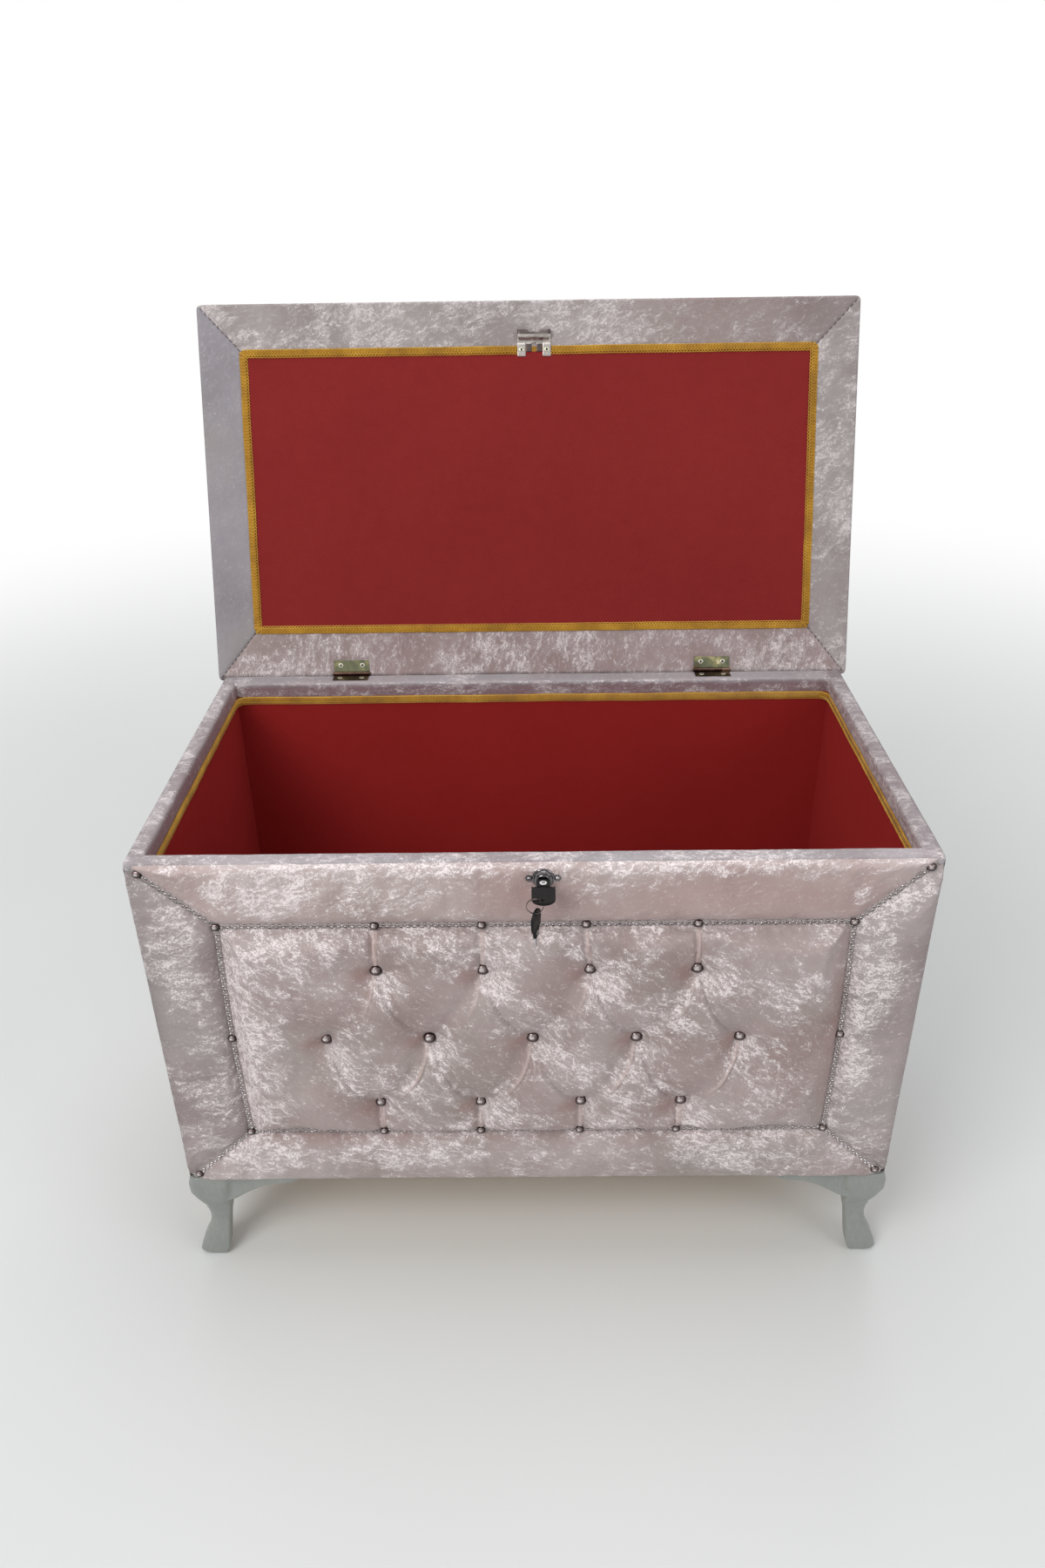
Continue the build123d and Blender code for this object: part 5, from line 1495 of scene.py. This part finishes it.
def lid_braid(item):
    """Braid round the lid's felt, its scallops inwards, cut where the strike sits."""
    h = BRAID_W / 2
    x, u0, u1, w = LID_BRAID_X - h, LID_BRAID_U0 + h, LID_BRAID_U1 - h, UNDER - 0.35
    corners = np.array([(STRIKE_X1 + 2.6, u1), (x, u1), (x, u0), (-x, u0), (-x, u1), (STRIKE_X0 - 2.6, u1)])
    places = []
    for a, b in zip(corners, corners[1:]):
        count = max(2, int(np.linalg.norm(b - a) / 12))
        aside = np.abs(b - a)[::-1] > 1
        for i in range(count):
            q = a + (b - a) * i / count
            q = q + 0.5 * noise.noise((q[0] / 70.0, q[1] / 70.0, 8.0)) * aside
            places.append((*q, w))
    places = np.array(places + [(*corners[-1], w)])
    row = row_along("lid_gimp", [(on_lid(places[::-1]), [tuple(LID_OUT)] * len(places))], item, GIMP_STEP, GIMP, 0.05)
    place_piece(row, "lid", ["lid_braid"])
    ground = ribbon(places, leftward(places), (0, 0, -1),
                    ((-3.1, -0.3), (-2.9, 0.5), (0.0, 0.8), (4.4, 0.5), (4.6, -0.3)))
    flat = [[(px, u1 + o, UNDER - 0.1) for o in (-2.0, 1.0, 4.8)]
            for px in np.linspace(STRIKE_X0 - 3.0, STRIKE_X1 + 3.0, 9)]
    braid_ground("lid_gimp_ground", [on_lid(ground), on_lid(flat)], "lid", LID_OUT)


def lid_coordinates(co):
    """Frame metres back to closed-lid (x, u, w) millimetres."""
    p = off_chest(co)
    y, z = p[:, 1] - PIN_Y, p[:, 2] - PIN_Z
    return p[:, 0], -y * math.cos(OPEN) + z * math.sin(OPEN), y * math.sin(OPEN) + z * math.cos(OPEN)


def strike():
    """Bent steel strike: screw tabs and two tongues, a rolled bend, and the ledge that the hook catches."""
    x0, x1 = STRIKE_X0, STRIKE_X1
    middle = (x0 + x1) / 2
    face, fold_u = UNDER - 1.2, 446.4
    ledge = [(fold_u + 9.8 * t, face - 5.6 * (t - 0.06 * math.sin(2 * math.pi * t))) for t in np.linspace(0, 1, 15)]
    ledge += [(457.2, face - 5.5), (460.5, face - 5.0), (463.4, face - 4.4)]
    grids = []
    for a, b, start in ((x0, x1, None), (x0, x0 + 11.0, 429.3), (x1 - 11.0, x1, 429.3),
                        (x0 + 12.0, middle - 3.6, 435.3), (middle + 3.6, x1 - 12.0, 435.3)):
        line = [(u, face) for u in np.linspace(start, fold_u, 8)] if start else ledge
        grid = np.array([[(x, u, w) for u, w in line] for x in np.linspace(a, b, 7 if start else 24)])
        x, u, w = grid[..., 0], grid[..., 1], grid[..., 2]
        if not start:
            notch = (np.abs(x - middle) < 8.0) & (u > 460.0)
            u[:] = np.where(notch, 459.9 + 0.02 * (u - 460.0), u)
            w += 0.22 * np.clip(2.2 - np.minimum(x - a, b - x), 0, None) ** 2 * (u > 450)
            w += 0.35 * lumps(x, u, 0 * x, 7.0, 3.3) * (u > 452)
        grids.append(on_lid(grid))
    piece = join_grids("strike_plate_bent", grids, LID_OUT)
    for kind, settings in (("WELD", {"merge_threshold": 0.00002}), ("SOLIDIFY", {"thickness": 0.0011, "offset": -1.0}),
                           ("BEVEL", {"width": 0.0003, "segments": 2, "limit_method": "ANGLE"})):
        step = piece.modifiers.new(kind.lower(), kind)
        for key, value in settings.items():
            setattr(step, key, value)
    bake_modifiers(piece)
    shade(piece.data, 40)
    x, u, w = lid_coordinates(read_points(piece.data))
    tongue = (x > x0 + 11.5) & (x < x1 - 11.5) & (u < 446.0)
    # painted shade on the ledge, the tongues and the tabs, and a painted highlight along the bend
    dull = 0.95 * window_of(u, 455.6, 456.8) + 0.72 * tongue + 0.5 * (u < 446.0) - 0.4 * spot_line(u, 451.0, 3.5)
    store(piece.data, "dull", dull)
    place_piece(piece, "lid", ["strike_plate"], finish=STRIKE_STEEL)


def screw_faces():
    """Cupped screw heads of the hinges and the strike, their recesses painted dark as shade."""
    def head(work):
        crown = work.verts.layers.float.new("crown")
        rings = [circle(work, r / 1000, h / 1000, 20)
                 for r, h in ((3.1, 0.0), (2.9, 0.22), (2.1, 0.26), (1.6, 0.12), (1.1, 0.08))]
        top = work.verts.new((0, 0, 0.00006))
        skin(work, rings)
        cap(work, rings[-1], top)
        for ring, value in zip(rings + [[top]], (0.1, 0.0, 0.05, 0.8, 1.0, 1.0)):
            for v in ring:
                v[crown] = value
    item = small_item("screw_head", head)
    across = [sx * HINGE_X + dx for sx in (-1, 1) for dx in (-15.5, 15.5)]
    lid_spots = [(x, 11.5, UNDER - 0.03) for x in across]
    lid_spots += [(x, 438.0, UNDER - 1.23) for x in (STRIKE_X0 + 5.5, STRIKE_X1 - 5.5)]
    rim_spots = [(x, PIN_Y - 11.5, RIM_Z + 0.03) for x in across]
    for name, body, places, to_frame, out in (("lid_screw_faces", "lid", lid_spots, on_lid, tuple(LID_OUT)),
                                              ("rim_screw_faces", "chest", rim_spots, on_chest, (0, 0, 1))):
        paths = [(to_frame([(x - 0.5, u, w), (x + 0.5, u, w)]), [out] * 2) for x, u, w in places]
        place_piece(row_along(name, paths, item, 0.0030, SCREW), body)
    bpy.data.objects.remove(item)


def spare_key():
    """The spare key as it hangs: short, narrow at the ring, fuller in the middle, tapered at the neck."""
    head = read_points(nodes["spare_key_head"].data)
    top, low = head[:, 2].max(), head[:, 2].min()
    centre = (head[:, :2].max(axis=0) + head[:, :2].min(axis=0)) / 2
    for name, slot, finish in (("spare_key_head", "key_plastic", KEY_BLACK), ("spare_key_eyelet", "steel", STEEL),
                               ("spare_key_blade", "steel", STEEL)):
        piece = copied("hanging_", name)
        if name == "spare_key_head":
            remade(piece, 0.0004, 3)
        co = read_points(piece.data)
        t = (top - co[:, 2]) / (top - low)
        slim = np.interp(t, (0.0, 0.12, 0.38, 0.7, 1.0, 2.0), (0.72, 0.84, 0.90, 0.80, 0.66, 0.66))
        co[:, :2] = centre + (co[:, :2] - centre) * slim[:, None]
        co[:, 2] = top - (top - co[:, 2]) * 0.8
        write_points(piece.data, co)
        drop_layers(piece.data, "custom_normal")
        shade(piece.data, 40)
        place_piece(piece, "spare_key", [name], finish=finish)


# ---------------------------------------------------------------- feet

# height over the floor, the leg's outer and inner faces from its corner, and the radius of its edges
FOOT_LEVELS = np.array((
    (0.0, 0.0, 25.0, 8.0), (3.0, -4.6, 27.8, 10.5), (9.0, -8.6, 30.4, 13.0), (16.0, -8.0, 31.8, 12.6),
    (27.0, -0.8, 33.4, 10.0), (40.0, 8.0, 35.0, 8.6), (54.0, 12.8, 36.4, 8.4), (70.0, 12.6, 38.6, 9.0),
    (88.0, 8.0, 42.0, 9.5), (106.0, 1.4, 45.4, 10.0), (124.0, -4.0, 48.3, 10.5)))


def square_leg(piece, cx, cy, sx, sy):
    """Square up the leg's sections and cut the toe with straight chamfers."""
    p = off_chest(read_points(piece.data))
    z = p[:, 2]
    a, b = sx * (p[:, 0] - cx), sy * (p[:, 1] - cy)
    outer, inner, turn = (np.interp(z, FOOT_LEVELS[:, 0], FOOT_LEVELS[:, k]) for k in (1, 2, 3))
    across = np.interp(z, (0, 6.4, 16, 27, 36, 46, 56, 66, 78, 92),
                       (-1.2, -9.0, -6.2, -1.4, 3.4, 7.4, 9.6, 10.2, 8.8, 5.2))
    deep = np.interp(z, (0, 4.2, 16, 30, 46, 60, 76, 92), (7.4, 5.0, 5.6, 7.4, 10.2, 12.0, 11.0, 6.6))
    new_inner = np.interp(z, (0, 11.0, 16, 27, 60, 92), (25.4, 30.4, 31.4, 32.8, 36.6, 43.0))
    fade = 1.0 - window_of(z, 80.0, 92.0)
    leg = (a < inner + 2.0) & (b < inner + 2.0) & (z < 104.0)
    crisp = 1.0 - 0.72 * (1.0 - window_of(z, 90.0, 104.0))
    for _ in (0, 1):
        u, v = inner - a, b - outer
        arc = leg & (u < turn) & (v < turn)
        a, b = (np.where(arc, outer + (turn * crisp + (v - turn) * crisp), b),
                np.where(arc, inner - (turn * crisp + (u - turn) * crisp), a))
    for q, new_outer in ((a, across), (b, deep)):
        moved = new_outer + (q - outer) / (inner - outer) * (new_inner - new_outer)
        q[:] = np.where(leg, q + (moved - q) * fade, q)
    p[:, 0], p[:, 1] = cx + sx * a, cy + sy * b
    write_points(piece.data, on_chest(p))


def feet():
    """Carved feet, their edges eased and lacquered."""
    def sewn(work):
        bmesh.ops.remove_doubles(work, verts=work.verts, dist=1e-5)
        bmesh.ops.recalc_face_normals(work, faces=work.faces)
    for name in ("foot_front_left", "foot_front_right", "foot_back_left", "foot_back_right"):
        piece = copied("carved_", name)
        reworked(piece.data, sewn)
        remade(piece, 0.0016, 2)
        drop_layers(piece.data, "custom_normal")
        sx, sy = (1 if "left" in name else -1), (1 if "front" in name else -1)
        square_leg(piece, -sx * HALF_W, 0.0 if sy > 0 else BODY_D, sx, sy)
        shade(piece.data, 38)
        place_piece(piece, "chest", [name], finish=LACQUER)


# ---------------------------------------------------------------- studio

def add_camera():
    """The view of the front from standing height."""
    pitch, yaw, roll = math.radians(29.397), math.radians(-0.677), math.radians(-0.912)
    fwd = Vector((math.sin(yaw) * math.cos(pitch), math.cos(yaw) * math.cos(pitch), -math.sin(pitch)))
    right = Vector((math.cos(yaw), -math.sin(yaw), 0.0))
    up = right.cross(fwd)
    right, up = math.cos(roll) * right + math.sin(roll) * up, math.cos(roll) * up - math.sin(roll) * right
    lens = bpy.data.cameras.new("front_view")
    lens.sensor_fit = "VERTICAL"
    lens.sensor_height = 36.0
    lens.lens = 26.567
    lens.clip_start = 0.05
    view = bpy.data.objects.new("front_view", lens)
    scene.collection.objects.link(view)
    view.matrix_world = Matrix(((right.x, up.x, -fwd.x, 0.00271), (right.y, up.y, -fwd.y, -1.34455),
                                (right.z, up.z, -fwd.z, 1.30066), (0, 0, 0, 1)))
    scene.camera = view


def add_world():
    """White surroundings to the eye and in reflections, soft light on the piece."""
    world = bpy.data.worlds.new("studio")
    scene.world = world
    world.use_nodes = True
    tree = world.node_tree
    tree.nodes.clear()
    soft = wire(tree, "ShaderNodeBackground", Color=(1.0, 1.0, 1.0, 1.0), Strength=0.42).outputs[0]
    white = wire(tree, "ShaderNodeBackground", Color=(1.0, 1.0, 1.0, 1.0), Strength=1.0).outputs[0]
    ray = wire(tree, "ShaderNodeLightPath").outputs
    shows = Level(tree, ray["Is Camera Ray"]).joined("MAXIMUM", ray["Is Transmission Ray"])
    shows = shows.joined("MAXIMUM", ray["Is Glossy Ray"])
    mix = wire(tree, "ShaderNodeMixShader", i0=shows, i1=soft, i2=white).outputs[0]
    wire(tree, "ShaderNodeOutputWorld", Surface=mix)


def add_lamp(name, place, aim, size, power, tint=(1.0, 1.0, 1.0)):
    lamp = bpy.data.lights.new(name, "AREA")
    lamp.shape = "RECTANGLE"
    lamp.size, lamp.size_y = size
    lamp.energy = power
    lamp.color = tint
    thing = bpy.data.objects.new(name, lamp)
    scene.collection.objects.link(thing)
    thing.location = place
    thing.rotation_euler = (Vector(aim) - Vector(place)).to_track_quat("-Z", "Y").to_euler()


def add_studio():
    """Pale floor and soft lamps."""
    f = Finish("pale_floor")
    cloud = f.tones(f.grain(0.8, 2.0, 0.5), ((0.3, (218, 220, 220)), (0.7, (224, 226, 226))))
    feed(f.shader, Base_Color=cloud, Roughness=0.7, Specular_IOR_Level=0.2)
    away = Level(f.tree, f.add("ShaderNodeVectorMath", {"operation": "LENGTH"}, i0=f.here).outputs["Value"])
    fade = away.window(0.9, 3.4) * f.add("ShaderNodeLightPath").outputs["Is Camera Ray"]
    glow = f.add("ShaderNodeEmission", Color=(1.0, 1.0, 1.0, 1.0), Strength=1.0)
    mix = f.add("ShaderNodeMixShader", i0=fade, i1=f.shader.outputs[0], i2=glow.outputs[0])
    feed(f.out, Surface=mix.outputs[0])
    mesh = bpy.data.meshes.new("floor")
    ring = [(14.0 * math.cos(a), 14.0 * math.sin(a), 0.0) for a in np.linspace(0, 2 * math.pi, 96, endpoint=False)]
    mesh.from_pydata(ring, [], [list(range(96))])
    floor = add_piece("floor", mesh)
    paint(floor, f.material)
    add_lamp("key", (-1.7, -2.3, 2.9), (0.0, -0.1, 0.45), (1.8, 1.8), 62.0, (1.0, 0.99, 0.97))
    add_lamp("fill", (2.4, -1.9, 1.9), (0.0, 0.0, 0.5), (1.6, 1.6), 16.0, (0.97, 0.98, 1.0))
    add_lamp("overhead", (0.0, 0.3, 3.4), (0.0, 0.0, 0.3), (2.2, 2.2), 34.0)
    add_lamp("behind", (0.6, 3.0, 2.2), (0.0, 0.2, 0.6), (1.8, 1.8), 16.0)


# ---------------------------------------------------------------- making

add_camera()
add_world()
add_studio()
finish_hardware()
tufted_panel()
for border in ("top", "bottom", "left", "right"):
    border_pad(border)
bead_trim()
nail_heads()
rim_wrap()
outer_cover()
box_lining()
lid_cover()
lid_facings()
mitre_stitches()
lid_felt()
gimp = gimp_item()
rim_braid(gimp)
lid_braid(gimp)
bpy.data.objects.remove(gimp)
drawn_lock()
strike()
screw_faces()
spare_key()
feet()
